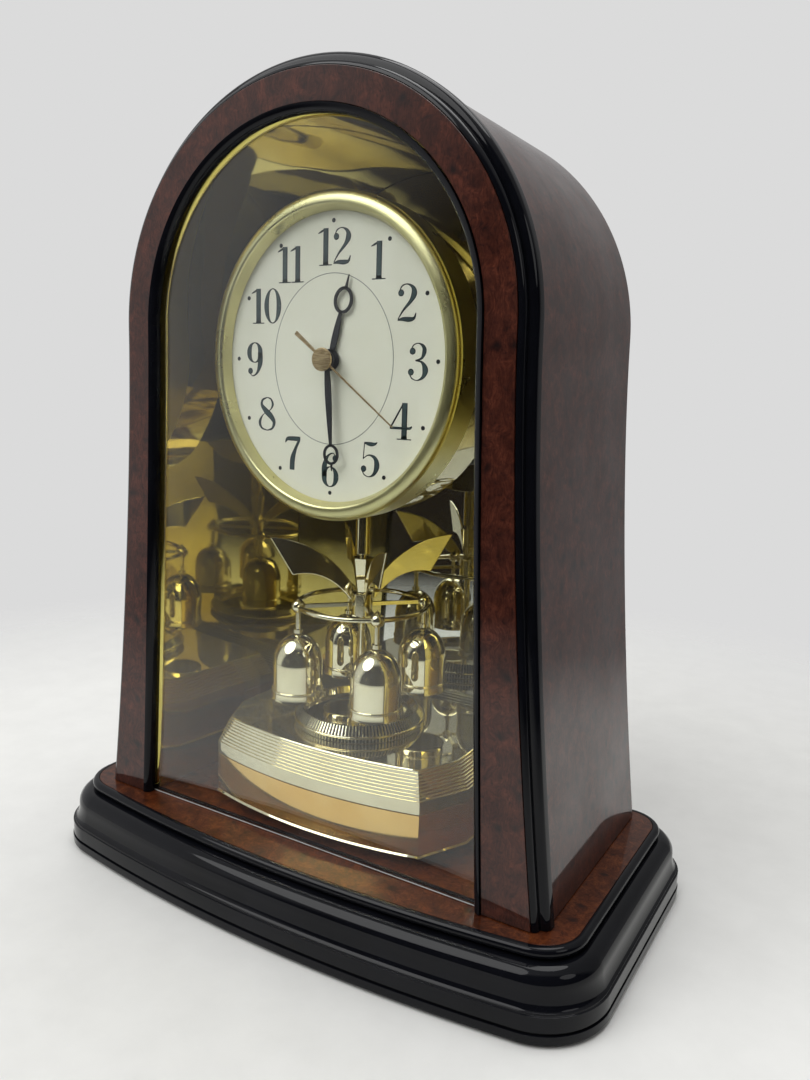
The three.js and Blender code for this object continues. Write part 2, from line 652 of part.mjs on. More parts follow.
// Outline of the movement's case around the hand axis, grown by a clearance
function movementShape(grow) {
  const corner = MOVEMENT_CORNER + grow;
  const x = MOVEMENT_WIDTH / 2 + grow - corner;
  const z = MOVEMENT_HEIGHT / 2 + grow - corner;
  const shape = new THREE.Shape();
  shape.absarc(x, DIAL_Z + z, corner, 0, Math.PI / 2);
  shape.absarc(-x, DIAL_Z + z, corner, Math.PI / 2, Math.PI);
  shape.absarc(-x, DIAL_Z - z, corner, Math.PI, Math.PI * 1.5);
  shape.absarc(x, DIAL_Z - z, corner, Math.PI * 1.5, Math.PI * 2);
  return shape;
}

function dialGroup() {
  const crestY = DIAL_Y - BEZEL_PROUD;
  const seatY = DIAL_Y - FIT_GAP;
  const skirtY = DIAL_Y + BEZEL_SKIRT;
  const crestGrow = BEZEL_INNER_RUN + BEZEL_CREST_WIDTH / 2;
  const rimY = crestY + BEZEL_RIM_DROP;
  const crest = steps(5, (t) => [
    crestGrow - (BEZEL_CREST_WIDTH / 2) * Math.cos(Math.PI * t),
    crestY + BEZEL_CREST_ROLL * (1 - Math.sin(Math.PI * t)),
  ]);
  node('bezel', ovalRing([
    [0, seatY],
    ...crest,
    [BEZEL_WIDTH - BEZEL_RIM_CHAMFER, rimY],
    [BEZEL_WIDTH, rimY + BEZEL_RIM_CHAMFER],
    [BEZEL_WIDTH, skirtY],
    [BEZEL_WIDTH - BEZEL_WALL, skirtY],
    [BEZEL_WIDTH - BEZEL_WALL, seatY],
  ]), 'satinGold');

  const shaftHole = new THREE.Path();
  shaftHole.absarc(0, DIAL_Z, HOUR_PIPE + RUNNING_GAP, 0, 2 * Math.PI);
  const face = ovalShape(DIAL_LAP);
  face.holes.push(shaftHole);
  node('dial', prism(face, DIAL_Y, DIAL_Y + DIAL_THICKNESS, 18), 'dial');

  // Drum behind the dial, with an opening in its rear wall for the movement
  const drumGrow = BEZEL_WIDTH - BEZEL_WALL - FIT_GAP;
  const drum = ovalShape(drumGrow);
  drum.holes.push(shaftHole);
  const opening = movementShape(FIT_GAP);
  node('dial_housing', cut(
    prism(drum, DRUM_FRONT_Y, DRUM_REAR_Y, 18),
    prism(ovalShape(drumGrow - DRUM_WALL), DRUM_FRONT_Y + DRUM_WALL, DRUM_REAR_Y - DRUM_WALL, 18),
    prism(opening, DRUM_REAR_Y - DRUM_WALL - OVERSHOOT, DRUM_REAR_Y + OVERSHOOT, 3),
  ), 'gold');
}

// Hand blank drawn at twelve o'clock: boss, leaf, open ring and tip
function handPlate(hand, front) {
  const back = front + HAND_THICKNESS;
  const boss = new THREE.Shape();
  boss.absarc(0, 0, hand.boss, 0, 2 * Math.PI);
  const neck = hand.ringCentre - hand.ringHalfLength + hand.ringBand / 2;
  const pull = hand.leafWidth - hand.neckWidth / 2;
  const leaf = new THREE.Shape();
  leaf.moveTo(-hand.neckWidth / 2, 0);
  leaf.quadraticCurveTo(-pull, hand.leafPeak, -hand.neckWidth / 2, neck);
  leaf.lineTo(hand.neckWidth / 2, neck);
  leaf.quadraticCurveTo(pull, hand.leafPeak, hand.neckWidth / 2, 0);
  leaf.closePath();
  const ring = new THREE.Shape();
  ring.absellipse(0, hand.ringCentre, hand.ringHalfWidth, hand.ringHalfLength, 0, 2 * Math.PI);
  const eye = new THREE.Path();
  const eyeWidth = hand.ringHalfWidth - hand.ringBand;
  const eyeLength = hand.ringHalfLength - hand.ringBand;
  eye.absellipse(0, hand.ringCentre, eyeWidth, eyeLength, 0, 2 * Math.PI);
  ring.holes.push(eye);
  const tipFoot = hand.ringCentre + hand.ringHalfLength - hand.ringBand / 2;
  const tip = new THREE.Shape();
  tip.moveTo(-hand.neckWidth / 2, tipFoot);
  tip.lineTo(hand.neckWidth / 2, tipFoot);
  tip.lineTo(0, hand.tip);
  tip.closePath();
  return join(...[boss, leaf, ring, tip].map((shape) => prism(shape, front, back, 8)));
}

function tube(outer, inner, from, to) {
  return turnedAlongY([[inner, from], [outer, from], [outer, to], [inner, to], [inner, from]], 16);
}

function setOnDial(mesh, turns) {
  mesh.position.z = DIAL_Z;
  mesh.rotation.y = 2 * Math.PI * turns;
}

function hands() {
  const minuteTurn = SHOWN_MINUTES / 60;
  const pipeEnd = MOVEMENT_Y + HOUR_PIPE_DEPTH;
  const hourBody = body('hour_hand_body');
  const hourPipe = tube(HOUR_PIPE, HOUR_BORE, HOUR_Y, pipeEnd);
  const hourFront = HOUR_Y - HAND_THICKNESS;
  const hourBore = turnedAlongY(rod(HOUR_BORE, hourFront - OVERSHOOT, pipeEnd + OVERSHOOT), 16);
  const hourPlate = handPlate(HOUR_HAND, hourFront);
  setOnDial(node('hour_hand', cut(join(hourPlate, hourPipe), hourBore), 'hand', hourBody), minuteTurn / 12);

  // The minute hand sits on an arbor that runs through the movement to the setting knob
  const minuteBody = body('minute_hand_body');
  const plateFront = MINUTE_Y - HAND_THICKNESS;
  const knobFront = BACK_FACE_Y - KNOB_RECESS + FIT_GAP;
  const boreEnd = (MOVEMENT_Y + knobFront) / 2;
  const arborFit = rod(MINUTE_ARBOR + FIT_GAP, plateFront - OVERSHOOT, MINUTE_Y + OVERSHOOT);
  const minutePlate = cut(handPlate(MINUTE_HAND, plateFront), turnedAlongY(arborFit, 16));
  setOnDial(node('minute_hand', minutePlate, 'hand', minuteBody), minuteTurn);
  const knobSeat = knobFront + KNOB_LENGTH / 2;
  const arbor = turnedAlongY([
    [MINUTE_BORE, plateFront],
    [MINUTE_ARBOR, plateFront],
    [MINUTE_ARBOR, knobSeat],
    [0, knobSeat],
    [0, boreEnd],
    [MINUTE_BORE, boreEnd],
    [MINUTE_BORE, plateFront],
  ], 16);
  setOnDial(node('minute_arbor', arbor, 'steel', minuteBody), minuteTurn);
  const fluted = new THREE.Shape(steps(KNOB_FLUTES * 4, (t) => {
    const turn = 2 * Math.PI * t;
    const radius = KNOB_RADIUS - (KNOB_FLUTE_DEPTH * (1 - Math.cos(KNOB_FLUTES * turn))) / 2;
    return new THREE.Vector2(radius * Math.cos(turn), radius * Math.sin(turn));
  }).slice(0, -1));
  const knob = cut(
    prism(fluted, knobFront, knobFront + KNOB_LENGTH),
    turnedAlongY(rod(MINUTE_ARBOR + FIT_GAP, knobFront - OVERSHOOT, knobSeat + FIT_GAP), 16),
  );
  setOnDial(node('setting_knob', knob, 'plastic', minuteBody), minuteTurn);

  const secondBody = body('second_hand_body');
  const secondFront = SECOND_Y - HAND_THICKNESS;
  const needle = new THREE.Shape();
  needle.moveTo(-SECOND_TAIL_WIDTH / 2, -SECOND_TAIL);
  needle.lineTo(SECOND_TAIL_WIDTH / 2, -SECOND_TAIL);
  needle.lineTo(SECOND_WIDTH / 2, 0);
  needle.lineTo(SECOND_WIDTH / 4, SECOND_TIP);
  needle.lineTo(-SECOND_WIDTH / 4, SECOND_TIP);
  needle.lineTo(-SECOND_WIDTH / 2, 0);
  needle.closePath();
  const secondArbor = turnedAlongY(rod(SECOND_ARBOR, secondFront, boreEnd - RUNNING_GAP), 12);
  const secondHand = join(prism(needle, secondFront, SECOND_Y), secondArbor);
  setOnDial(node('second_hand', secondHand, 'bronze', secondBody), SHOWN_SECONDS / 60);
  const capBack = secondFront - FIT_GAP;
  const cap = turnedAlongY(rod(CAP_RADIUS, capBack - CAP_THICKNESS, capBack), 24);
  setOnDial(node('hand_cap', cap, 'gold', secondBody), SHOWN_SECONDS / 60);
}

function movement() {
  const cellPitch = 2 * CELL_RADIUS + FIT_GAP;
  const bayHeight = 2 * cellPitch + FIT_GAP;
  const bayTop = DIAL_Z - KNOB_RADIUS - RUNNING_GAP - BAY_WALL;
  const bayZ = bayTop - bayHeight / 2;
  const bayFloor = BACK_FACE_Y - COVER_THICKNESS - 2 * CELL_RADIUS - 2 * FIT_GAP;
  const bayDepth = BACK_FACE_Y - bayFloor + OVERSHOOT;
  const wellFloor = BACK_FACE_Y - KNOB_RECESS;
  const pipeEnd = MOVEMENT_Y + HOUR_PIPE_DEPTH + RUNNING_GAP;
  const well = turnedAlongY(rod(KNOB_RADIUS + RUNNING_GAP, wellFloor, BACK_FACE_Y + OVERSHOOT), 24);
  const arborBore = turnedAlongY(rod(MINUTE_ARBOR + RUNNING_GAP, MOVEMENT_Y - OVERSHOOT, BACK_FACE_Y), 16);
  const pipeBore = turnedAlongY(rod(HOUR_PIPE + RUNNING_GAP, MOVEMENT_Y - OVERSHOOT, pipeEnd), 16);
  const housing = cut(
    prism(movementShape(0), MOVEMENT_Y, BACK_FACE_Y, 3),
    box(BAY_LENGTH, bayDepth, bayHeight, 0, bayFloor + bayDepth / 2, bayZ),
    ...[well, arborBore, pipeBore].map((tool) => tool.translate(0, 0, DIAL_Z)),
  );
  node('movement_case', housing, 'plastic');

  const cellY = bayFloor + FIT_GAP + CELL_RADIUS;
  [1, -1].forEach((side, i) => {
    const cell = turned([
      ...rod(CELL_RADIUS, -CELL_LENGTH / 2, CELL_LENGTH / 2).slice(0, 3),
      [CELL_NUB_RADIUS, CELL_LENGTH / 2],
      [CELL_NUB_RADIUS, CELL_LENGTH / 2 + CELL_NUB_LENGTH],
      [0, CELL_LENGTH / 2 + CELL_NUB_LENGTH],
    ], 16);
    const mesh = node(`battery_${i + 1}`, cell, 'cell');
    mesh.rotation.y = (side * Math.PI) / 2;
    mesh.position.set(0, cellY, bayZ + (side * cellPitch) / 2);
  });

  const coverBody = body('battery_cover_body');
  const coverWidth = BAY_LENGTH - 2 * FIT_GAP;
  const coverHeight = bayHeight - 2 * FIT_GAP;
  const coverY = BACK_FACE_Y - COVER_THICKNESS / 2;
  const grip = box(COVER_GRIP_WIDTH, 2 * COVER_GRIP_DEPTH, COVER_GRIP_HEIGHT, 0, BACK_FACE_Y, bayZ);
  const cover = cut(box(coverWidth, COVER_THICKNESS, coverHeight, 0, coverY, bayZ), grip);
  node('battery_cover', cover, 'plastic', coverBody);
}

function hexagon(radius, z) {
  return arc(0, 0, radius, 0, 2 * Math.PI, 6).slice(0, -1).map(([x, y]) => [x, y, z]);
}

// Ring with its spokes; a growth gives the tool that clears it inside the balls
function pendulumRing(grow) {
  const wire = arc(RING_RADIUS, BOARD_TOP_Z + RING_HEIGHT, RING_WIRE + grow, 0, 2 * Math.PI, 6);
  const hoop = turned(wire, 36);
  const from = HUB_BOSS_RADIUS + FIT_GAP;
  const size = SPOKE_SIZE + 2 * grow;
  const length = RING_RADIUS - from;
  const spokes = [0, 1, 2, 3].map((quarter) => {
    const spoke = box(length, size, size, from + length / 2, 0, BOARD_TOP_Z + RING_HEIGHT);
    return spoke.rotateZ((quarter * Math.PI) / 2);
  });
  return join(hoop, ...spokes);
}

function leafShape() {
  const root = HUB_BOSS_RADIUS + FIT_GAP;
  const foot = RING_HEIGHT + SPOKE_SIZE / 2 + FIT_GAP;
  const shape = new THREE.Shape();
  shape.moveTo(root, foot);
  shape.quadraticCurveTo(LEAF_FOOT_PULL.reach, LEAF_FOOT_PULL.height, LEAF_CORNER.reach, LEAF_CORNER.height);
  shape.lineTo(LEAF_TIP.reach, LEAF_TIP.height);
  shape.quadraticCurveTo(LEAF_TOP_PULL.reach, LEAF_TOP_PULL.height, root, LEAF_ROOT_TOP);
  shape.closePath();
  return shape;
}

function bell() {
  const domeFoot = BELL_CROWN - BELL_DOME_HEIGHT;
  const beadZ = BELL_LIP + BELL_BEAD_HEIGHT;
  const lipRadius = BELL_RADIUS + BELL_LIP_FLARE;
  const inner = BELL_RADIUS - BELL_WALL;
  const outerDome = steps(5, (t) => {
    const turn = (t * Math.PI) / 2;
    return [BELL_RADIUS * Math.sin(turn), domeFoot + BELL_DOME_HEIGHT * Math.cos(turn)];
  });
  const innerDome = steps(3, (t) => {
    const turn = ((1 - t) * Math.PI) / 2;
    return [inner * Math.sin(turn), domeFoot + (BELL_DOME_HEIGHT - BELL_WALL) * Math.cos(turn)];
  });
  return turned([
    ...outerDome,
    [BELL_RADIUS, beadZ + BELL_BEAD_SIZE],
    [BELL_RADIUS + BELL_BEAD_SIZE, beadZ],
    [BELL_RADIUS, beadZ - BELL_BEAD_SIZE],
    [lipRadius, BELL_LIP],
    [inner, BELL_LIP],
    ...innerDome,
  ], 16);
}

// Ball with a point, a thin stem and a small collar that carries the bell
function bellHanger(ringTool) {
  const stemTurn = -Math.acos(STEM_RADIUS / BALL_RADIUS);
  const tipTurn = Math.acos(BALL_TIP_RADIUS / BALL_RADIUS);
  const collarFoot = BELL_CROWN + FIT_GAP;
  const profile = [
    [0, collarFoot],
    [STEM_COLLAR_RADIUS, collarFoot],
    [STEM_COLLAR_RADIUS, collarFoot + STEM_COLLAR_HEIGHT],
    [STEM_RADIUS, collarFoot + STEM_COLLAR_HEIGHT],
    ...arc(0, RING_HEIGHT, BALL_RADIUS, stemTurn, tipTurn, 5),
    [0, RING_HEIGHT + BALL_RADIUS + BALL_TIP],
  ];
  return cut(turned(profile, 8).translate(RING_RADIUS, 0, BOARD_TOP_Z), ringTool);
}

function pendulum() {
  const pendulumBody = body('pendulum_body');
  const bossFoot = BOARD_TOP_Z + RING_HEIGHT - HUB_BOSS_HEIGHT / 2;
  const bossTop = bossFoot + HUB_BOSS_HEIGHT;
  const hubTop = BOARD_TOP_Z + HUB_TOP;
  const waistZ = hubTop - HUB_TAPER_LENGTH;
  const taper = loft([
    hexagon(HUB_WAIST_RADIUS, bossTop - OVERSHOOT),
    hexagon(HUB_WAIST_RADIUS, waistZ),
    hexagon(HUB_TOP_RADIUS, hubTop),
  ], false);
  const boss = turned(rod(HUB_BOSS_RADIUS, bossFoot, bossTop), 20);
  const spindleFit = turned(rod(SPINDLE_RADIUS + FIT_GAP, bossFoot - OVERSHOOT, hubTop + OVERSHOOT), 16);
  node('hub', cut(join(taper, boss), spindleFit), 'gold', pendulumBody).rotation.z = PENDULUM_TURN;
  const spindle = turned(rod(SPINDLE_RADIUS, BOARD_TOP_Z + SPINDLE_FOOT, BOARD_TOP_Z + SPINDLE_TOP), 16);
  node('spindle', spindle, 'gold', pendulumBody);
  node('pendulum_ring', pendulumRing(0), 'gold', pendulumBody).rotation.z = PENDULUM_TURN;
  const ringTool = pendulumRing(FIT_GAP);
  for (let i = 0; i < 4; i++) {
    const turn = PENDULUM_TURN + (i * Math.PI) / 2;
    const blade = prism(leafShape(), -LEAF_THICKNESS / 2, LEAF_THICKNESS / 2, 8).translate(0, 0, BOARD_TOP_Z);
    node(`leaf_${i + 1}`, blade, 'gold', pendulumBody).rotation.z = turn;
    node(`bell_hanger_${i + 1}`, bellHanger(ringTool), 'gold', pendulumBody).rotation.z = turn;
    const hung = bell().translate(RING_RADIUS, 0, BOARD_TOP_Z);
    node(`bell_${i + 1}`, hung, 'gold', pendulumBody).rotation.z = turn;
  }

  // Column under the drum; its bore is the spindle's upper bearing
  const drumFoot = DIAL_Z - DIAL_OPENING.halfHeight - BEZEL_WIDTH + BEZEL_WALL;
  const columnFoot = BOARD_TOP_Z + COLUMN_FOOT;
  const bore = SPINDLE_RADIUS + RUNNING_GAP;
  const column = [
    [bore, columnFoot],
    [COLUMN_RADIUS, columnFoot],
    [COLUMN_RADIUS, drumFoot],
    [bore, drumFoot],
    [bore, columnFoot],
  ];
  node('column', turned(column, 20), 'gold');
}

// Pedestal outline in plan, grown outwards from the deck's edge
function pedestalOutline(grow) {
  const bowY = DECK_FRONT_Y + DECK_BOW_RADIUS;
  const bowRadius = DECK_BOW_RADIUS + grow;
  const along = new THREE.Vector2(DECK_HALF_WIDTH - DECK_CORNER.x, DECK_CHAMFER_END_Y - DECK_CORNER.y);
  along.normalize();
  const outward = new THREE.Vector2(along.y, -along.x);
  const start = new THREE.Vector2(DECK_CORNER.x, DECK_CORNER.y).addScaledVector(outward, grow);
  const fromCentre = new THREE.Vector2(start.x, start.y - bowY);
  const reach = fromCentre.dot(along);
  const slide = -reach - Math.sqrt(reach ** 2 - fromCentre.lengthSq() + bowRadius ** 2);
  const corner = start.clone().addScaledVector(along, slide);
  const cornerTurn = Math.atan2(corner.y - bowY, corner.x);
  const endX = DECK_HALF_WIDTH + grow;
  const endY = start.y + (along.y / along.x) * (endX - start.x);
  const half = [
    ...arc(0, bowY, bowRadius, -Math.PI / 2, cornerTurn, 6).slice(1),
    [endX, endY],
    [endX, DECK_REAR_Y + grow],
  ];
  return [[0, DECK_FRONT_Y - grow], ...half, ...half.map(([x, y]) => [-x, y]).reverse()];
}

function knurledLoop(radius, z, depth) {
  return steps(2 * KNURL_TEETH, (t) => {
    const turn = 2 * Math.PI * t;
    const tooth = Math.round(2 * KNURL_TEETH * t) % 2;
    return [(radius - depth * tooth) * Math.cos(turn), (radius - depth * tooth) * Math.sin(turn), z];
  }).slice(0, -1);
}

function pedestal() {
  const riser = pedestalOutline(-RISER_INSET);
  node('pedestal_riser', loft([level(riser, RISER_FOOT_Z), level(riser, RISER_TOP_Z)], false), 'plastic');

  const lipZ = FASCIA_FOOT_Z + FASCIA_LIP;
  const fascia = [
    [FASCIA_GROW, FASCIA_TOP_Z],
    [FASCIA_GROW, lipZ + FASCIA_LIP],
    [FASCIA_GROW + FASCIA_LIP, lipZ],
    [FASCIA_GROW, FASCIA_FOOT_Z],
    [-RISER_INSET - FASCIA_WALL, FASCIA_FOOT_Z],
    [-RISER_INSET - FASCIA_WALL, FASCIA_FOOT_Z + FASCIA_WALL],
    [FASCIA_GROW - FASCIA_WALL, FASCIA_FOOT_Z + FASCIA_WALL],
    [FASCIA_GROW - FASCIA_WALL, FASCIA_TOP_Z],
  ];
  node('pedestal_fascia', loft(fascia.map(([grow, z]) => level(pedestalOutline(grow), z)), true), 'gold');

  // Cap: a plain band, then fine steps up to the deck, hollow underneath
  const bandTop = CAP_FOOT_Z + CAP_BAND_HEIGHT;
  const profile = [[FASCIA_GROW, CAP_FOOT_Z], [FASCIA_GROW, bandTop]];
  for (let i = 1; i <= CAP_STEPS; i++) {
    const riseZ = bandTop + (i - 1) * CAP_STEP_RISE;
    const grow = FASCIA_GROW - i * CAP_STEP_RUN;
    profile.push([grow, riseZ], [grow, riseZ + CAP_STEP_RISE]);
  }
  const outside = loft(profile.map(([grow, z]) => level(pedestalOutline(grow), z)), false);
  const hollow = pedestalOutline(-FASCIA_WALL);
  const inside = loft([level(hollow, CAP_FOOT_Z - OVERSHOOT), level(hollow, DECK_Z - DECK_THICKNESS)], false);
  const spindleHole = turned(rod(SPINDLE_RADIUS + RUNNING_GAP, CAP_FOOT_Z, DECK_Z + OVERSHOOT), 16);
  const screwFoot = DECK_Z - DECK_SCREW.length;
  const screwHoles = [-1, 1].map((side) => {
    const hole = turned(rod(DECK_SCREW.radius + FIT_GAP, screwFoot - FIT_GAP, DECK_Z + OVERSHOOT), 10);
    return hole.translate(side * DECK_SCREW.x, DECK_SCREW.y, 0);
  });
  node('pedestal_cap', cut(outside, inside, spindleHole, ...screwHoles), 'gold');
  ['left', 'right'].forEach((name, i) => {
    const screw = turned(rod(DECK_SCREW.radius, screwFoot, DECK_Z - FIT_GAP), 10);
    node(`deck_screw_${name}`, screw, 'plastic').position.set((2 * i - 1) * DECK_SCREW.x, DECK_SCREW.y, 0);
  });

  // Knurled collar with a dished top
  const rimZ = COLLAR_FOOT_Z + COLLAR_HEIGHT;
  const upperRow = COLLAR_RIM_RADIUS - KNURL_DEPTH;
  const lowerRow = (COLLAR_FOOT_RADIUS + upperRow) / 2;
  const rowTop = rimZ - 2 * KNURL_DEPTH;
  const lowerTop = rowTop - KNURL_ROW - 2 * KNURL_DEPTH;
  const dishZ = rimZ - COLLAR_DISH_DEPTH;
  const bore = SPINDLE_RADIUS + RUNNING_GAP;
  node('collar', loft([
    knurledLoop(bore, COLLAR_FOOT_Z, 0),
    knurledLoop(COLLAR_FOOT_RADIUS, COLLAR_FOOT_Z, 0),
    knurledLoop(lowerRow, lowerTop - KNURL_ROW, KNURL_DEPTH),
    knurledLoop(lowerRow, lowerTop, KNURL_DEPTH),
    knurledLoop(lowerRow - KNURL_DEPTH, lowerTop + KNURL_DEPTH, 0),
    knurledLoop(upperRow, rowTop - KNURL_ROW, KNURL_DEPTH),
    knurledLoop(upperRow, rowTop, KNURL_DEPTH),
    knurledLoop(COLLAR_RIM_RADIUS, rimZ - KNURL_DEPTH, 0),
    knurledLoop(COLLAR_RIM_RADIUS - KNURL_DEPTH, rimZ, 0),
    knurledLoop(COLLAR_DISH_RADIUS, dishZ, 0),
    knurledLoop(bore, dishZ, 0),
  ], true), 'gold');

  // Geared motor under the deck, with a socket for the spindle's foot
  const motorFoot = RISER_TOP_Z + FIT_GAP;
  const spindleFoot = BOARD_TOP_Z + SPINDLE_FOOT;
  const motor = turned(rod(MOTOR_RADIUS, motorFoot, motorFoot + MOTOR_HEIGHT), 20);
  const socket = turned(rod(SPINDLE_RADIUS + RUNNING_GAP, spindleFoot - FIT_GAP, DECK_Z), 16);
  node('drive_motor', cut(motor, socket), 'steel');
}

plinth();
caseBody();
backWall();
dialGroup();
hands();
movement();
pendulum();
pedestal();

export default clock;
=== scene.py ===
import math

import bmesh
import bpy
from bmesh.types import BMEdge, BMVert
from mathutils import Matrix, Vector


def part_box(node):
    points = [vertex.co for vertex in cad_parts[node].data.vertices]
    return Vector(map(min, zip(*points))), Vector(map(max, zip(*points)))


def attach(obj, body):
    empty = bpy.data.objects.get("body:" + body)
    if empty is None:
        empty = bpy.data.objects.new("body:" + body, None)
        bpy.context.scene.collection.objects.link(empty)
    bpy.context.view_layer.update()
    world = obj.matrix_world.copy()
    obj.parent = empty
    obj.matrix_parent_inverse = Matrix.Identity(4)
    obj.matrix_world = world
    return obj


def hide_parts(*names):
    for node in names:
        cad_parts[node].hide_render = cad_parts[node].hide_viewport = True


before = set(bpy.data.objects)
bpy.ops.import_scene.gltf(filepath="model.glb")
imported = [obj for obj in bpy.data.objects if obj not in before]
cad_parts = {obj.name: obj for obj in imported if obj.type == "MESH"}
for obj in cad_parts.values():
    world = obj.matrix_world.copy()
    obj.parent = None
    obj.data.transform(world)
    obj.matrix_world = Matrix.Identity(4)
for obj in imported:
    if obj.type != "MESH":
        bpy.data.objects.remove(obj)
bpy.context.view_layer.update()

MM = 0.001


# Plinth moulding: black gloss lacquer on a hollow ring with a bowed front and round corners.
# Its plan is drawn by arcs and then carried up through the bands, the cove and the round of the profile.
# The top board lies on it, and the base board closes it from below.
BOW_RADIUS = 706.0
BOW_STEPS = 20
FRONT_CORNER = 17.0
FRONT_CORNER_STEPS = 14
REAR_CORNER = 13.0
REAR_CORNER_STEPS = 12
RAIL = 10.0
REACH = 11.5
LOWER_BAND = 3.3
GROOVE = 0.9
BAND_SETBACK = 0.3
BAND = 6.0
FILLET = 0.7
ROUND = 6.2
ROUND_STEPS = 10
BAND_EDGE = 0.25
PLAN_MERGE = 0.001
MERGE = 0.0005


def cad(node):
    """Corners of a CAD node's box in millimetres."""
    low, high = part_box(node)
    return low / MM, high / MM


def srgb(red, green, blue):
    """Linear colour of a screen colour."""
    levels = [value / 255 for value in (red, green, blue)]
    linear = [level / 12.92 if level <= 0.04045 else ((level + 0.055) / 1.055) ** 2.4 for level in levels]
    return linear + [1.0]


def feed(tree, node, inputs):
    """Sets a node's inputs to values, or links them to sockets."""
    for name, value in inputs.items():
        if isinstance(value, bpy.types.NodeSocket):
            tree.links.new(value, node.inputs[name])
        else:
            node.inputs[name].default_value = value


def add(tree, kind, inputs=None, **settings):
    """Adds a shader node with its settings and inputs."""
    node = tree.nodes.new(kind)
    for name, value in settings.items():
        setattr(node, name, value)
    feed(tree, node, inputs or {})
    return node


def ramp(tree, value, *stops):
    """Colour ramp over a value, with stops of (place, colour)."""
    node = add(tree, "ShaderNodeValToRGB", {"Fac": value})
    while len(node.color_ramp.elements) < len(stops):
        node.color_ramp.elements.new(0.5)
    for element, (place, colour) in zip(node.color_ramp.elements, stops):
        element.position = place
        element.color = colour
    return node.outputs["Color"]


def span(tree, value, low, high, start=0.0, end=1.0):
    """Carries the range start to end of a value over to the range low to high."""
    ends = {"Value": value, "From Min": start, "From Max": end, "To Min": low, "To Max": high}
    return add(tree, "ShaderNodeMapRange", ends).outputs["Result"]


def noise(tree, place, scale, detail, roughness=0.5, output="Fac"):
    """Cloudy pattern over a place."""
    pattern = {"Vector": place, "Scale": scale, "Detail": detail, "Roughness": roughness}
    return add(tree, "ShaderNodeTexNoise", pattern).outputs[output]


def dimple(tree, shader, height, distance):
    """Feeds a fine relief to a shader, with its depth in metres."""
    bump = add(tree, "ShaderNodeBump", {"Height": height, "Strength": 1.0, "Distance": distance})
    feed(tree, shader, {"Normal": bump.outputs["Normal"]})


def new_group(name, *outputs):
    """Node group that turns a place into values, with that place and the node for its outputs."""
    group = bpy.data.node_groups.new(name, "ShaderNodeTree")
    group.interface.new_socket("Place", in_out="INPUT", socket_type="NodeSocketVector")
    for output in outputs:
        group.interface.new_socket(output, in_out="OUTPUT", socket_type="NodeSocketFloat")
    place = group.nodes.new("NodeGroupInput").outputs["Place"]
    return group, place, group.nodes.new("NodeGroupOutput")


def from_group(tree, group, place):
    """Outputs of a node group in a material."""
    return add(tree, "ShaderNodeGroup", {"Place": place}, node_tree=group).outputs


# Soft smears and fine specks, which every handled surface has.
handling, place, end = new_group("handling", "Smear", "Speck")
clouds = noise(handling, place, scale=45.0, detail=4.0, roughness=0.6)
feed(handling, end, {
    "Smear": span(handling, clouds, 0.0, 1.0, start=0.35, end=0.65),
    "Speck": noise(handling, place, scale=900.0, detail=2.0),
})


def new_material(name):
    """Material with its tree, its shader and the place in the frame's own coordinates."""
    material = bpy.data.materials.new(name)
    material.use_nodes = True
    tree = material.node_tree
    place = add(tree, "ShaderNodeTexCoord").outputs["Object"]
    return material, tree, tree.nodes["Principled BSDF"], place


def finish(name, dark, light, roughness, spread="Smear", metal=0.0, specular=0.5, relief=0.0):
    """Material with smears from a dark to a light colour, and a roughness spread by smears or specks."""
    material, tree, shader, place = new_material(name)
    marks = from_group(tree, handling, place)
    feed(tree, shader, {
        "Base Color": ramp(tree, marks["Smear"], (0.0, srgb(*dark)), (1.0, srgb(*light))),
        "Roughness": span(tree, marks[spread], *roughness),
        "Metallic": metal,
        "Specular IOR Level": specular,
    })
    if relief:
        dimple(tree, shader, marks["Speck"], relief)
    return material


def only(kind, items):
    """Items of one kind, such as edges."""
    return [item for item in items if isinstance(item, kind)]


def outline(bm, z, start, moves):
    """Level face drawn from the front middle round the right-hand side and mirrored to the left."""
    point = bm.verts.new((*start, z))
    for move in moves:
        if "centre" in move:
            turned = bmesh.ops.spin(
                bm, geom=[point], cent=(*move["centre"], z), axis=(0, 0, 1),
                angle=move["turn"], steps=move["steps"],
            )
            point = only(BMVert, turned["geom_last"])[0]
        else:
            point = bmesh.ops.extrude_vert_indiv(bm, verts=[point])["verts"][0]
            point.co = (*move["to"], z)
    half = bm.verts[:] + bm.edges[:]
    bmesh.ops.mirror(bm, geom=half, matrix=Matrix.Identity(4), merge_dist=PLAN_MERGE, axis="X")
    bmesh.ops.remove_doubles(bm, verts=bm.verts, dist=PLAN_MERGE)
    return bmesh.ops.contextual_create(bm, geom=bm.edges[:])["faces"][0]


def next_level(bm, face, grow, z):
    """Carries a level outline on to another height, grown or shrunk by the mitre of its corners."""
    raised = bmesh.ops.extrude_discrete_faces(bm, faces=[face])["faces"][0]
    raised.normal_update()
    side = 1 if raised.normal.z > 0 else -1
    corners = [vert.co.xy for vert in raised.verts]
    for index, vert in enumerate(raised.verts):
        before = (corners[index] - corners[index - 1]).normalized()
        after = (corners[(index + 1) % len(corners)] - corners[index]).normalized()
        out = Vector((before.y + after.y, -before.x - after.x)) / (1 + before.dot(after))
        vert.co.xy += side * grow * out
        vert.co.z = z
    return raised


def close_solid(bm):
    """Fills the open ends."""
    bmesh.ops.holes_fill(bm, edges=[edge for edge in bm.edges if edge.is_boundary], sides=0)


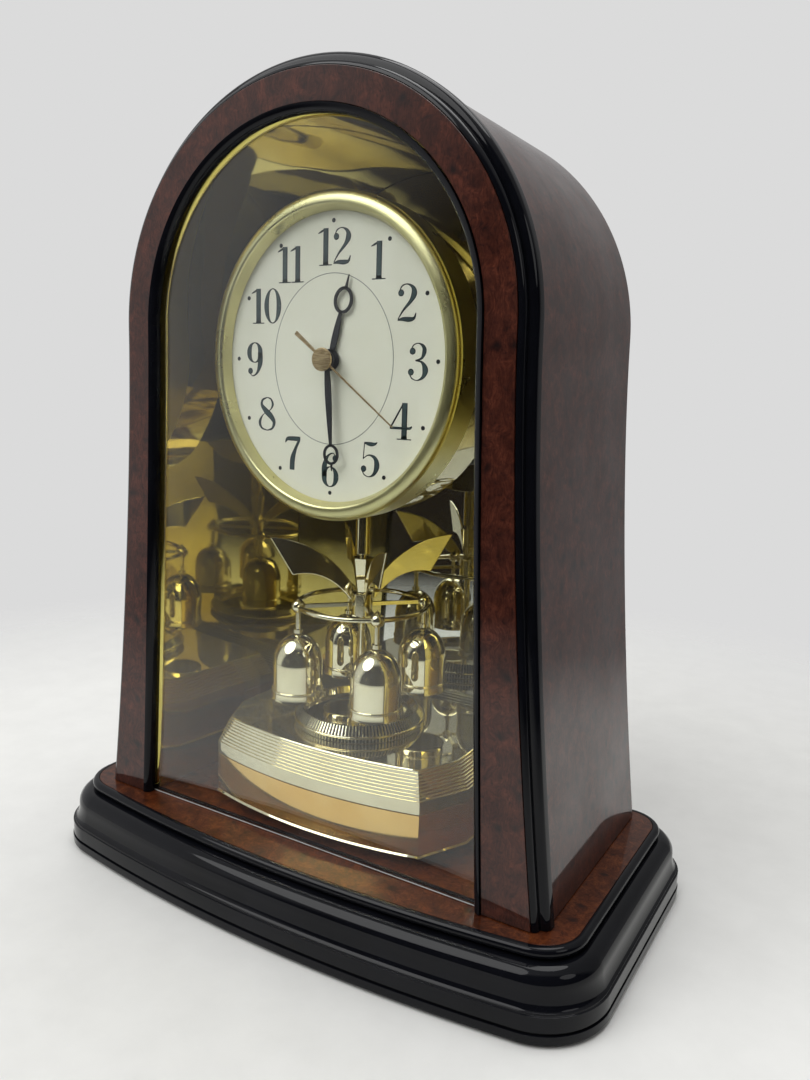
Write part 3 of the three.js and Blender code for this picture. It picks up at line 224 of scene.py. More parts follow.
def climb(plan, profile, hollow=False):
    """Carries a plan through a profile of (growth, height) to a solid, or to a ring closed on its start."""
    bm = bmesh.new()
    grown, z = profile[0]
    face = plan(bm, grown, z)
    for grow, z in profile[1:]:
        face = next_level(bm, face, grow - grown, z)
        grown = grow
    if hollow:
        bmesh.ops.delete(bm, geom=[face], context="FACES_ONLY")
        bmesh.ops.bridge_loops(bm, edges=[edge for edge in bm.edges if edge.is_boundary])
    else:
        close_solid(bm)
    return bm


def bend(steps, centre, radii, start, end):
    """Points on an arc or a part of an oval, by angles in degrees."""
    points = []
    for step in range(steps + 1):
        angle = math.radians(start + (end - start) * step / steps)
        points.append((centre[0] + radii[0] * math.cos(angle), centre[1] + radii[1] * math.sin(angle)))
    return points


def make_piece(bm, name, material, node=None, body="clock_case", extra=(), round_off=0.0, sharp=35.0):
    """Turns a mesh in millimetres into a piece that rides on a body and stands for a CAD node."""
    bmesh.ops.remove_doubles(bm, verts=bm.verts, dist=MERGE)
    bmesh.ops.recalc_face_normals(bm, faces=bm.faces)
    if round_off:
        limit = math.radians(sharp)
        corners = [edge for edge in bm.edges if edge.is_manifold and edge.calc_face_angle() > limit]
        bmesh.ops.bevel(
            bm, geom=corners, offset=round_off, offset_type="OFFSET", segments=2, profile=0.5,
            affect="EDGES", clamp_overlap=True, material=-1,
        )
    bmesh.ops.scale(bm, vec=(MM, MM, MM), verts=bm.verts)
    mesh = bpy.data.meshes.new(name)
    bm.to_mesh(mesh)
    bm.free()
    mesh.shade_smooth()
    mesh.set_sharp_from_angle(angle=math.radians(sharp))
    for coat in (material, *extra):
        mesh.materials.append(coat)
    piece = bpy.data.objects.new(name, mesh)
    bpy.context.scene.collection.objects.link(piece)
    shading = piece.modifiers.new("even_shading", "WEIGHTED_NORMAL")
    shading.keep_sharp = True
    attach(piece, body)
    if node:
        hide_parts(node)


board_low, board_high = cad("plinth_top")
moulding_low, moulding_high = cad("plinth_moulding")
nose = (board_high.z - board_low.z) / 2
half_width = board_high.x - nose
front_y = board_low.y + nose
rear_y = board_high.y - nose


def plinth_plan(bm, grow, z):
    """Plinth outline at a height, grown out from the centre line of the top board's nose."""
    bow_y = front_y + BOW_RADIUS
    corner_x = half_width - FRONT_CORNER
    corner_y = bow_y - math.sqrt((BOW_RADIUS - FRONT_CORNER) ** 2 - corner_x ** 2)
    bow_turn = math.atan2(corner_x, bow_y - corner_y)
    rear_centre = (half_width - REAR_CORNER, rear_y - REAR_CORNER)
    return outline(bm, z, (0, front_y - grow), [
        {"centre": (0, bow_y), "turn": bow_turn, "steps": BOW_STEPS},
        {"centre": (corner_x, corner_y), "turn": math.pi / 2 - bow_turn, "steps": FRONT_CORNER_STEPS},
        {"to": (half_width + grow, rear_centre[1])},
        {"centre": rear_centre, "turn": math.pi / 2, "steps": REAR_CORNER_STEPS},
        {"to": (0, rear_y + grow)},
    ])


black_gloss = finish("black_gloss", (10, 11, 15), (15, 16, 21), roughness=(0.03, 0.07), specular=0.2,
                     relief=0.000002)
groove_z = moulding_low.z + LOWER_BAND
band_z = groove_z + GROOVE
fillet_z = band_z + BAND
cove_z = fillet_z + FILLET
round_z = moulding_high.z - ROUND
band_reach = REACH - BAND_SETBACK
cove_reach = band_reach - FILLET
cove_radii = (nose + ROUND - cove_reach, cove_z - round_z)
moulding = climb(plinth_plan, [
    (-RAIL, moulding_low.z),
    (REACH, moulding_low.z),
    (REACH, groove_z),
    (band_reach - GROOVE, groove_z),
    (band_reach - GROOVE, band_z),
    (band_reach, band_z),
    (band_reach, fillet_z),
    (cove_reach, fillet_z),
    *bend(ROUND_STEPS, (cove_reach, round_z), cove_radii, 90, 0),
    *bend(ROUND_STEPS, (nose, round_z), (ROUND, ROUND), 0, 90)[1:],
    (-RAIL, moulding_high.z),
], hollow=True)
make_piece(moulding, "plinth_moulding_lacquered", black_gloss, "plinth_moulding",
           round_off=BAND_EDGE)


# Top board: black gloss lacquer with a half-round nose all the way round, and a panel of lacquered burl
# let into its top. The moulding's plan is carried round the nose and into the panel's pocket.
# The case stands on the panel.
NOSE_STEPS = 12
VENEER_INSET = 1.0
VENEER_EDGE = 0.15
FIT_GAP = 0.3
CLOUD_STOPS = (0.05, 0.5, 0.95)
GRAIN_SHARE = 0.9
GRAIN_DARK = (0.37, (0.52, 0.48, 0.46, 1))
GRAIN_LIGHT = (0.63, (1.0, 1.0, 1.0, 1))
EYE_SHARE = 0.88
GLOSS_LOSS = 0.1


def number_sum(tree, operation, *values, **settings):
    """Result of a sum on numbers or sockets."""
    return add(tree, "ShaderNodeMath", dict(enumerate(values)), operation=operation, **settings).outputs[0]


def vector_sum(tree, operation, *values, output="Vector"):
    """Result of a sum on vectors or sockets."""
    return add(tree, "ShaderNodeVectorMath", dict(enumerate(values)), operation=operation).outputs[output]


def mix(tree, share, first, second, blend="MIX"):
    """Mixes two colours by a share."""
    colours = {"Fac": share, "Color1": first, "Color2": second}
    return add(tree, "ShaderNodeMixRGB", colours, blend_type=blend).outputs["Color"]


# Burl: clouds of colour, dark eyes and flecks, and a fine upright grain that bends.
burl_figure, place, end = new_group("burl_figure", "Cloud", "Eye", "Grain")
drift = noise(burl_figure, place, scale=90.0, detail=2.0, output="Color")
sway = vector_sum(burl_figure, "MULTIPLY", drift, (0.01, 0.01, 0.01))
bent = vector_sum(burl_figure, "ADD", place, sway)
cells = add(burl_figure, "ShaderNodeTexVoronoi", {"Vector": bent, "Scale": 125.0}).outputs
core = span(burl_figure, cells["Distance"], 1.0, 0.0, start=0.08, end=0.36)
lot = add(burl_figure, "ShaderNodeSeparateColor", {"Color": cells["Color"]}).outputs["Red"]
chosen = span(burl_figure, lot, 0.0, 1.0, start=0.4, end=0.55)
spot = number_sum(burl_figure, "MULTIPLY", core, chosen)
crumbs = noise(burl_figure, bent, scale=620.0, detail=2.0)
fleck = span(burl_figure, crumbs, 0.0, 0.6, start=0.57, end=0.72)
drawn = vector_sum(burl_figure, "MULTIPLY", bent, (1500.0, 1500.0, 130.0))
clouds = noise(burl_figure, bent, scale=170.0, detail=8.0, roughness=0.74)
feed(burl_figure, end, {
    "Cloud": span(burl_figure, clouds, 0.0, 1.0, start=0.3, end=0.7),
    "Eye": number_sum(burl_figure, "MAXIMUM", spot, fleck),
    "Grain": noise(burl_figure, drawn, scale=1.0, detail=3.0),
})


def veneer(name, dark, middle, light, eye, gloss):
    """Lacquered burl in four colours."""
    material, tree, shader, place = new_material(name)
    figure = from_group(tree, burl_figure, place)
    smear = from_group(tree, handling, place)["Smear"]
    stops = zip(CLOUD_STOPS, (srgb(*dark), srgb(*middle), srgb(*light)))
    lines = ramp(tree, figure["Grain"], GRAIN_DARK, GRAIN_LIGHT)
    grained = mix(tree, GRAIN_SHARE, ramp(tree, figure["Cloud"], *stops), lines, "MULTIPLY")
    feed(tree, shader, {
        "Base Color": mix(tree, span(tree, figure["Eye"], 0.0, EYE_SHARE), grained, srgb(*eye)),
        "Roughness": span(tree, smear, 0.3, 0.4),
        "Specular IOR Level": 0.1,
        "Coat Weight": span(tree, smear, gloss, gloss - GLOSS_LOSS),
        "Coat Roughness": 0.05,
    })
    dimple(tree, shader, figure["Grain"], distance=0.00001)
    return material


board_burl = veneer(
    "board_burl", dark=(56, 25, 13), middle=(86, 43, 22), light=(116, 64, 34), eye=(32, 15, 10), gloss=0.5,
)
panel_low, panel_high = cad("top_veneer")
pocket_reach = FIT_GAP - VENEER_INSET
board = climb(plinth_plan, [
    *bend(NOSE_STEPS, (0, board_low.z + nose), (nose, nose), -90, 90),
    (pocket_reach, board_high.z),
    (pocket_reach, panel_low.z - FIT_GAP),
])
make_piece(board, "plinth_top_lacquered", black_gloss, "plinth_top")
panel = climb(plinth_plan, [(-VENEER_INSET, panel_low.z), (-VENEER_INSET, panel_high.z)])
make_piece(panel, "top_veneer_lacquered", board_burl, "top_veneer", round_off=VENEER_EDGE)


# Underside: a brown hardboard panel in the plinth and four black felt pads under its corners.
# They keep their CAD shapes. The pads carry the clock.
def paint(material, *nodes):
    """Gives CAD nodes a material."""
    for name in nodes:
        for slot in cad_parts[name].material_slots:
            slot.material = material


hardboard, tree, shader, place = new_material("hardboard")
fibre = noise(tree, place, scale=420.0, detail=6.0, roughness=0.7)
feed(tree, shader, {
    "Base Color": ramp(tree, fibre, (0.3, srgb(58, 38, 26)), (0.7, srgb(98, 68, 46))),
    "Roughness": span(tree, from_group(tree, handling, place)["Smear"], 0.62, 0.8),
})
dimple(tree, shader, fibre, distance=0.00008)
paint(hardboard, "base_board")

felt, tree, shader, place = new_material("felt")
fuzz = noise(tree, place, scale=1500.0, detail=5.0)
feed(tree, shader, {
    "Base Color": ramp(tree, fuzz, (0.3, srgb(22, 22, 22)), (0.7, srgb(52, 51, 50))),
    "Roughness": 0.95,
    "Sheen Weight": 0.4,
})
dimple(tree, shader, fuzz, distance=0.0001)
paint(felt, "foot_pad_1", "foot_pad_2", "foot_pad_3", "foot_pad_4")


# Case: a veneered shell, the veneered frame of the front, the black double bead on its corner and the
# black quarter-round in the window. Each is one section that goes up the flared right side, over the
# half-round arch and down the left side. They stand on the top board.
CASE_SIDE = {"flare": 16.7, "power": 1.6}
WINDOW_SIDE = {"flare": 9.2, "power": 1.3}
SIDE_STEPS = 24
ARCH_STEPS = 90
WINDOW_RADIUS = 76.3
FRAME_LIP = 3.0
BACK_REBATE = 5.0
SHELL_WALL = 9.0
SHELL_EDGE = 0.4
FRAME_EDGE = 0.2
SQUARE_CREASE = 50
MOULDING_GROOVE = 0.7
MOULDING_SWELL = 0.75
MOULDING_DEPTH = 5.6
BEAD_WIDTH = 3.0
BEAD_PROUD = 0.9
BEAD_STEPS = 8

frame_low, frame_high = cad("front_frame")
shell_low, shell_high = cad("case_shell")
corner_high = cad("corner_moulding")[1]
glass_low, glass_high = cad("front_glass")
back_low = cad("back_board")[0]
foot_z = frame_low.z
frame_radius = frame_high.x - CASE_SIDE["flare"]
shell_radius = shell_high.x - CASE_SIDE["flare"]
moulding_radius = corner_high.x - CASE_SIDE["flare"]
glass_radius = glass_high.x - WINDOW_SIDE["flare"]
spring_z = frame_high.z - frame_radius
side_levels = [step / SIDE_STEPS for step in range(SIDE_STEPS + 1)]


def side_place(radius, side, level):
    """Place of (x, z) on a flared side, at a level from 0 at the foot to 1 at the arch."""
    flare = side["flare"] * (1 - level) ** side["power"]
    return radius + flare, foot_z + level * (spring_z - foot_z)


def on_side(side, *points):
    """Section points of (radius, y) that follow a flared side."""
    return [(radius, y, side) for radius, y in points]


def arch_bar(section):
    """Bar that follows the arch; its section is a loop of (radius, y, side)."""
    bm = bmesh.new()
    corner = bm.verts.layers.int.new("corner")

    def set_level(verts, level, side_x):
        for vert in verts:
            radius, y, side = section[vert[corner]]
            x, z = side_place(radius, side, level)
            vert.co = (side_x * x, y, z)

    def grow_side(edges, levels, side_x):
        for level in levels:
            grown = bmesh.ops.extrude_edge_only(bm, edges=edges)["geom"]
            edges = only(BMEdge, grown)
            set_level(only(BMVert, grown), level, side_x)
        return edges

    loop = []
    for number, (radius, y, side) in enumerate(section):
        vert = bm.verts.new((radius, y, foot_z))
        vert[corner] = number
        loop.append(vert)
    edges = [bm.edges.new((loop[index - 1], loop[index])) for index in range(len(loop))]
    set_level(loop, 0, 1)
    edges = grow_side(edges, side_levels[1:], 1)
    ends = [vert for edge in edges for vert in edge.verts]
    turned = bmesh.ops.spin(
        bm, geom=list(dict.fromkeys(ends)) + edges, cent=(0, 0, spring_z), axis=(0, -1, 0),
        angle=math.pi, steps=ARCH_STEPS,
    )
    edges = only(BMEdge, turned["geom_last"])
    grow_side(edges, reversed(side_levels[:-1]), -1)
    close_solid(bm)
    return bm


burl = veneer(
    "burl", dark=(44, 18, 13), middle=(68, 32, 22), light=(94, 47, 33), eye=(20, 10, 10), gloss=0.8,
)
shell_inner = shell_radius - SHELL_WALL
rebate = shell_inner + BACK_REBATE + FIT_GAP
rebate_y = back_low.y - FIT_GAP
shell = arch_bar(on_side(
    CASE_SIDE,
    (shell_radius, shell_low.y),
    (shell_radius, shell_high.y),
    (rebate, shell_high.y),
    (rebate, rebate_y),
    (shell_inner, rebate_y),
    (shell_inner, shell_low.y),
))
make_piece(shell, "case_shell_veneered", burl, "case_shell",
           round_off=SHELL_EDGE, sharp=SQUARE_CREASE)

glass_rebate = glass_radius + FIT_GAP
lip_y = frame_low.y + FRAME_LIP
front = arch_bar([
    *on_side(CASE_SIDE, (frame_radius, frame_low.y), (frame_radius, frame_high.y)),
    *on_side(WINDOW_SIDE, (glass_rebate, frame_high.y), (glass_rebate, lip_y)),
    *on_side(WINDOW_SIDE, (WINDOW_RADIUS, lip_y), (WINDOW_RADIUS, frame_low.y)),
])
make_piece(front, "front_frame_veneered", burl, "front_frame",
           round_off=FRAME_EDGE, sharp=SQUARE_CREASE)


def swell(start, end):
    """Bead between two points that swells to its right."""
    line = Vector(end) - Vector(start)
    out = Vector((line.y, -line.x)).normalized() * MOULDING_SWELL
    places = [step / BEAD_STEPS for step in range(BEAD_STEPS + 1)]
    return [tuple(Vector(start) + line * at + out * math.sin(math.pi * at)) for at in places]


inner = frame_radius + FIT_GAP
groove_radius = (inner + moulding_radius) / 2 - MOULDING_GROOVE
groove_place = (groove_radius, frame_low.y + MOULDING_DEPTH / 2 + MOULDING_GROOVE)
front_bead = swell((inner, frame_low.y + FIT_GAP), groove_place)
rear_bead = swell(groove_place, (moulding_radius, frame_low.y + MOULDING_DEPTH))
double_bead = arch_bar(on_side(
    CASE_SIDE,
    (inner, corner_high.y),
    *front_bead,
    *rear_bead[1:],
    (moulding_radius, corner_high.y),
))
make_piece(double_bead, "corner_moulding_lacquered", black_gloss, "corner_moulding")

bead_radius = WINDOW_RADIUS - FIT_GAP
bead_centre = (bead_radius, frame_low.y + BEAD_WIDTH - BEAD_PROUD)
quarter_round = arch_bar(on_side(
    WINDOW_SIDE,
    *bend(BEAD_STEPS, bead_centre, (BEAD_WIDTH, BEAD_WIDTH), 270, 180),
    (bead_radius - BEAD_WIDTH, lip_y),
    (bead_radius, lip_y),
))
make_piece(quarter_round, "window_bead_lacquered", black_gloss, "window_bead")


# Glass and sill: a clear pane behind the frame's lip, black under its foot, with a pale ground strip along
# the foot of its front that is painted highlight for the bottom edge, and a black strip behind. The pane is
# a flat plate cut to the arch. Lamps shine through the glass.
GROUND_HIGHLIGHT_HEIGHT = 0.5
SILL_ROUND = 0.3
SILL_SHOWN = 1.0
NEAR = 0.01


def see_through(tree, shader, share):
    """Mixes a share of plain transparency into a material."""
    clear = add(tree, "ShaderNodeBsdfTransparent").outputs["BSDF"]
    mixed = add(tree, "ShaderNodeMixShader", {0: share, 1: shader.outputs["BSDF"], 2: clear})
    feed(tree, tree.nodes["Material Output"], {"Surface": mixed.outputs["Shader"]})


glass, tree, shader, place = new_material("glass")
feed(tree, shader, {
    "Base Color": srgb(246, 250, 249),
    "Transmission Weight": 1.0,
    "IOR": 1.45,
    "Roughness": span(tree, from_group(tree, handling, place)["Smear"], 0.0, 0.015),
})
see_through(tree, shader, add(tree, "ShaderNodeLightPath").outputs["Is Shadow Ray"])

# Pale matt glass for the strip at the pane's foot: ground glass, and a painted highlight of the bottom edge.
ground_glass_and_painted_highlight, tree, shader, place = new_material("ground_glass_and_painted_highlight")
marks = from_group(tree, handling, place)
feed(tree, shader, {
    "Base Color": ramp(tree, marks["Speck"], (0.3, srgb(196, 200, 198)), (0.7, srgb(226, 229, 227))),
    "Roughness": span(tree, marks["Smear"], 0.4, 0.5),
})


def thicken(bm, faces, thickness):
    """Gives flat faces a thickness backwards."""
    grown = bmesh.ops.extrude_face_region(bm, geom=faces, use_keep_orig=True)["geom"]
    bmesh.ops.translate(bm, vec=(0, thickness, 0), verts=only(BMVert, grown))


def plate(line, y, thickness):
    """Flat plate with an outline of (x, z), from a depth backwards."""
    bm = bmesh.new()
    face = bm.faces.new([bm.verts.new((x, y, z)) for x, z in line])
    thicken(bm, [face], thickness)
    return bm


def block(bm, place, size):
    """Block of a size at a place."""
    bmesh.ops.create_cube(bm, size=1, matrix=place @ Matrix.Diagonal((*size, 1)))


right_line = [side_place(glass_radius, WINDOW_SIDE, level) for level in side_levels[:-1]]
left_line = [(-x, z) for x, z in reversed(right_line)]
over = bend(ARCH_STEPS, (0, spring_z), (glass_radius, glass_radius), 0, 180)
pane = plate(right_line + over + left_line, glass_low.y, glass_high.y - glass_low.y)
everything = pane.verts[:] + pane.edges[:] + pane.faces[:]
bmesh.ops.bisect_plane(pane, geom=everything, plane_co=(0, 0, foot_z + GROUND_HIGHLIGHT_HEIGHT), plane_no=(0, 0, 1))
# Faces at the foot are black; the front's strip below the cut is pale ground glass, a painted highlight
# line.
for face in pane.faces:
    middle = face.calc_center_median()
    if middle.z - foot_z < NEAR:
        face.material_index = 1
    elif middle.z < foot_z + GROUND_HIGHLIGHT_HEIGHT and middle.y - glass_low.y < NEAR:
        face.material_index = 2
make_piece(pane, "front_glass_pane", glass, "front_glass", extra=(black_gloss, ground_glass_and_painted_highlight))

sill_low, sill_high = cad("glass_sill")
sill_high.y = sill_low.y + SILL_SHOWN
sill = bmesh.new()
block(sill, Matrix.Translation((sill_low + sill_high) / 2), sill_high - sill_low)
make_piece(sill, "glass_sill_lacquered", black_gloss, "glass_sill", round_off=SILL_ROUND)


# Mirror lining and back mirror: a lining of gilt mirror sheet, faintly wavy, and a plain silver mirror.
# The lining is a thin bar on the arch with a flared mouth at the window; the back keeps its CAD shape.
LINING_SIDE = {"flare": 3.0, "power": 1.3}
LINING_RADIUS = 73.2
LINING_THICKNESS = 1.2
LINING_EDGE = 0.2
MOUTH_DEPTH = 2.5
MOUTH_STEPS = 4
DEEP_SHINE = 0.2
DEEP_MIRRORS = (2.0, 4.0)


def bright_metal(material, shine):
    """Metal in a chamber of mirrors: light that has met several of them finds plain colour, not black."""
    tree = material.node_tree
    mirrors_met = add(tree, "ShaderNodeLightPath").outputs["Glossy Depth"]
    metallic = span(tree, mirrors_met, shine, DEEP_SHINE, *DEEP_MIRRORS)
    feed(tree, tree.nodes["Principled BSDF"], {"Metallic": metallic})


gilt_mirror = finish("gilt_mirror", (230, 208, 112), (238, 218, 130), roughness=(0.03, 0.055))
bright_metal(gilt_mirror, shine=0.96)
tree = gilt_mirror.node_tree
wave = noise(tree, tree.nodes["Texture Coordinate"].outputs["Object"], scale=28.0, detail=1.0)
dimple(tree, tree.nodes["Principled BSDF"], wave, distance=0.0003)
silver_mirror = finish("silver_mirror", (208, 206, 196), (214, 212, 203), roughness=(0.01, 0.025))
bright_metal(silver_mirror, shine=0.95)

lining_low, lining_high = cad("mirror_lining")
mouth = []
for step in range(MOUTH_STEPS + 1):
    inwards = step / MOUTH_STEPS
    y = lining_low.y + inwards * MOUTH_DEPTH
    rearwards = (y - lining_low.y) / (lining_high.y - lining_low.y)
    side = {}
    for name, start in WINDOW_SIDE.items():
        side[name] = start + rearwards * (LINING_SIDE[name] - start)
    mouth.append((LINING_RADIUS + (1 - inwards) ** 2 * (WINDOW_RADIUS - LINING_RADIUS), y, side))
lining = arch_bar([
    *mouth,
    (LINING_RADIUS, lining_high.y, LINING_SIDE),
    (LINING_RADIUS + LINING_THICKNESS, lining_high.y, LINING_SIDE),
    (WINDOW_RADIUS + LINING_THICKNESS, lining_low.y, WINDOW_SIDE),
])
make_piece(lining, "mirror_lining_gilt", gilt_mirror, "mirror_lining",
           round_off=LINING_EDGE, sharp=SQUARE_CREASE)
paint(silver_mirror, "back_mirror")


# Back board: hardboard in the shell's rebate, held by four pan-head screws. The board keeps its CAD shape;
# the screw heads are turned afresh, and a black cross just proud of each head is painted shade for the
# recess.
HEAD_ARC = 8
HEAD_STEPS = 32
CROSS_LENGTH = 2.9
CROSS_WIDTH = 0.7
CROSS_DEPTH = 0.7
CROSS_PROUD = 0.02

steel = finish("steel", (168, 168, 164), (196, 195, 190), roughness=(0.24, 0.4), spread="Speck", metal=1.0)


def lathe(profile, axis, centre, steps, bm=None):
    """Turns a profile of (radius, place along the axis) about an axis along Y or Z."""
    if bm is None:
        bm = bmesh.new()
    direction = Vector((0, 1, 0)) if axis == "Y" else Vector((0, 0, 1))
    start = Vector(centre)
    line = [bm.verts.new(start + Vector((radius, 0, 0)) + direction * along) for radius, along in profile]
    edges = [bm.edges.new(pair) for pair in zip(line, line[1:])]
    bmesh.ops.spin(
        bm, geom=line + edges, cent=centre, axis=direction, angle=2 * math.pi, steps=steps, use_merge=True,
    )
    bmesh.ops.remove_doubles(bm, verts=bm.verts, dist=MERGE)
    return bm


paint(hardboard, "back_board")
for number in range(1, 5):
    node = f"back_screw_{number}"
    low, high = cad(node)
    middle = ((low.x + high.x) / 2, low.y, (low.z + high.z) / 2)
    dome = bend(HEAD_ARC, (0, 0), ((high.x - low.x) / 2, high.y - low.y), 0, 90)
    screw = lathe([(0, 0)] + dome, "Y", middle, HEAD_STEPS)
    head_faces = set(screw.faces)
    # A black cross just proud of the head is painted shade for the cross recess.
    cross_place = Matrix.Translation((middle[0], high.y + CROSS_PROUD - CROSS_DEPTH / 2, middle[2]))
    for turn in (0, math.pi / 2):
        block(screw, cross_place @ Matrix.Rotation(turn, 4, "Y"), (CROSS_LENGTH, CROSS_DEPTH, CROSS_WIDTH))
    for face in screw.faces:
        face.material_index = int(face not in head_faces)
    make_piece(screw, f"{node}_pan_head", steel, node, extra=(black_gloss,))


# Dial: a matt cream plate that keeps its CAD shape, with printed numerals, twelve dots and a thin oval
# line. The numerals are strokes that swell and thin, in dark ink, with a grey-green core in the thick
# parts. The print lies on the plate.
NUMERAL_HEIGHT = 13.8
NUMERAL_BREADTH = 1.21
STROKE_STEPS = 8
RING_STEPS = 48
INK_EDGE = 0.3
INK_LIFT = 0.04
CORE_LIFT = 0.08
DOT_RADIUS = 0.85
DOT_RING = (47.5, 52.1)
LINE_OVAL = (28.3, 32.8)
LINE_WIDTH = 0.22
LINE_STEPS = 120
HOURS = 12

dial = finish("dial", (228, 226, 208), (233, 231, 215), roughness=(0.5, 0.65), spread="Speck")
ink = finish("ink", (10, 13, 16), (18, 22, 25), roughness=(0.4, 0.55), spread="Speck")
ink_core = finish("ink_core", (34, 52, 56), (52, 70, 72), roughness=(0.4, 0.55), spread="Speck")
paint(dial, "dial")

dial_low, dial_high = cad("dial")
dial_z = (dial_low.z + dial_high.z) / 2
# Each numeral is one unit high about its middle: strokes of (x, z, width), balls of (x, z), rings of
# (x, z, half width, half height) that are thick at the sides and thin above and below.
STEM = 0.175
HAIR = 0.03
BALL = 0.092
NUMERALS = {
    "0": {"rings": [(0, 0, 0.19, 0.485)]},
    "1": {"strokes": [
        [(0.02, 0.5, STEM), (0.02, -0.47, STEM)],
        [(0.0, 0.48, 0.04), (-0.1, 0.42, 0.06), (-0.2, 0.37, 0.02)],
        [(-0.16, -0.485, HAIR), (0.2, -0.485, HAIR)],
        [(0.02, -0.4, STEM), (0.02, -0.47, 0.2), (0.02, -0.49, 0.3)],
    ]},
    "2": {"strokes": [
        [(-0.2, 0.27, HAIR), (-0.14, 0.43, 0.04), (0.0, 0.485, HAIR), (0.14, 0.4, 0.1),
         (0.18, 0.24, STEM), (0.1, 0.05, 0.11), (-0.08, -0.18, 0.06), (-0.22, -0.42, HAIR)],
        [(-0.23, -0.45, 0.03), (-0.1, -0.42, 0.1), (0.06, -0.43, 0.13), (0.19, -0.4, 0.08),
         (0.24, -0.26, HAIR)],
    ], "balls": [(-0.155, 0.26)]},
    "3": {"strokes": [
        [(-0.19, 0.3, HAIR), (-0.12, 0.44, 0.035), (0.01, 0.485, HAIR), (0.13, 0.4, 0.1),
         (0.155, 0.27, 0.13), (0.09, 0.1, 0.07), (-0.07, 0.035, HAIR)],
        [(-0.07, 0.035, HAIR), (0.1, -0.01, 0.07), (0.19, -0.2, STEM), (0.14, -0.39, 0.1),
         (-0.01, -0.485, HAIR), (-0.15, -0.43, 0.035), (-0.22, -0.29, HAIR)],
    ], "balls": [(-0.145, 0.28), (-0.175, -0.27)]},
    "4": {"strokes": [
        [(0.06, 0.49, 0.05), (-0.27, -0.17, 0.05)],
        [(-0.29, -0.185, 0.07), (0.16, -0.185, 0.07), (0.25, -0.17, 0.07), (0.29, -0.12, HAIR)],
        [(0.09, 0.5, STEM), (0.09, -0.47, STEM)],
        [(-0.1, -0.485, HAIR), (0.28, -0.485, HAIR)],
        [(0.09, -0.4, STEM), (0.09, -0.47, 0.2), (0.09, -0.49, 0.3)],
    ]},
    "5": {"strokes": [
        [(-0.16, 0.48, HAIR), (-0.19, 0.0, HAIR)],
        [(-0.16, 0.46, 0.05), (0.0, 0.43, 0.12), (0.12, 0.44, 0.08), (0.19, 0.49, HAIR)],
        [(-0.19, 0.02, HAIR), (-0.04, 0.12, 0.04), (0.13, 0.05, 0.11), (0.19, -0.16, STEM),
         (0.12, -0.39, 0.1), (-0.02, -0.485, HAIR), (-0.16, -0.43, 0.035), (-0.22, -0.29, HAIR)],
    ], "balls": [(-0.175, -0.27)]},
    "6": {"strokes": [
        [(0.17, 0.38, HAIR), (0.07, 0.485, HAIR), (-0.08, 0.38, 0.08), (-0.17, 0.1, STEM),
         (-0.17, -0.2, STEM)],
    ], "balls": [(0.14, 0.34)], "rings": [(0, -0.2, 0.175, 0.285)]},
    "7": {"strokes": [
        [(-0.23, 0.3, HAIR), (-0.17, 0.41, 0.1), (-0.05, 0.43, 0.13), (0.23, 0.43, 0.13)],
        [(0.2, 0.4, 0.09), (0.09, 0.15, 0.1), (0.0, -0.15, STEM), (-0.02, -0.49, STEM)],
    ]},
    "8": {"strokes": [
        [(0.0, 0.485, HAIR), (-0.14, 0.41, 0.07), (-0.165, 0.26, 0.1), (-0.03, 0.08, STEM),
         (0.11, -0.05, STEM), (0.22, -0.23, 0.12), (0.16, -0.42, 0.07), (0.0, -0.485, HAIR)],
        [(0.0, -0.485, HAIR), (-0.17, -0.42, 0.06), (-0.23, -0.24, 0.1), (-0.12, -0.02, HAIR),
         (0.09, 0.12, HAIR), (0.175, 0.28, 0.08), (0.12, 0.44, 0.05), (0.0, 0.485, HAIR)],
    ]},
}


def turned_over(points):
    """Points of a numeral after half a turn."""
    return [(-x, -z, *sizes) for x, z, *sizes in points]


six = NUMERALS["6"]
NUMERALS["9"] = {
    "strokes": [turned_over(stroke) for stroke in six["strokes"]],
    "balls": turned_over(six["balls"]),
    "rings": turned_over(six["rings"]),
}
NUMERAL_PLACES = {
    "12": (0, 42.5), "1": (20.6, 36.6), "2": (33.5, 21), "3": (39, -0.2), "4": (32.4, -22.2),
    "5": (18.9, -37.5), "6": (0, -42.9), "7": (-18.9, -37.5), "8": (-32.4, -22.2), "9": (-39, -0.2),
    "10": (-33.5, 21), "11": (-20.6, 36.6),
}
PAIR_SPACING = {"10": 0.56, "11": 0.46, "12": 0.57}


def ribbon(bm, points, y):
    """Flat band through points of (x, z, width), as a strip of faces at a depth."""
    edge = None
    for index, (x, z, width) in enumerate(points):
        ahead = points[min(index + 1, len(points) - 1)]
        behind = points[max(index - 1, 0)]
        along = Vector((ahead[0] - behind[0], ahead[1] - behind[1])).normalized()
        across = Vector((-along.y, along.x)) * width / 2
        ends = [(x + across.x, y, z + across.y), (x - across.x, y, z - across.y)]
        if edge is None:
            edge = bm.edges.new([bm.verts.new(end) for end in ends])
            left = edge.verts[0]
        else:
            grown = bmesh.ops.extrude_edge_only(bm, edges=[edge])["geom"]
            edge = only(BMEdge, grown)[0]
            joined = [link.other_vert(left) for link in left.link_edges]
            left = next(vert for vert in edge.verts if vert in joined)
            left.co = ends[0]
            edge.other_vert(left).co = ends[1]


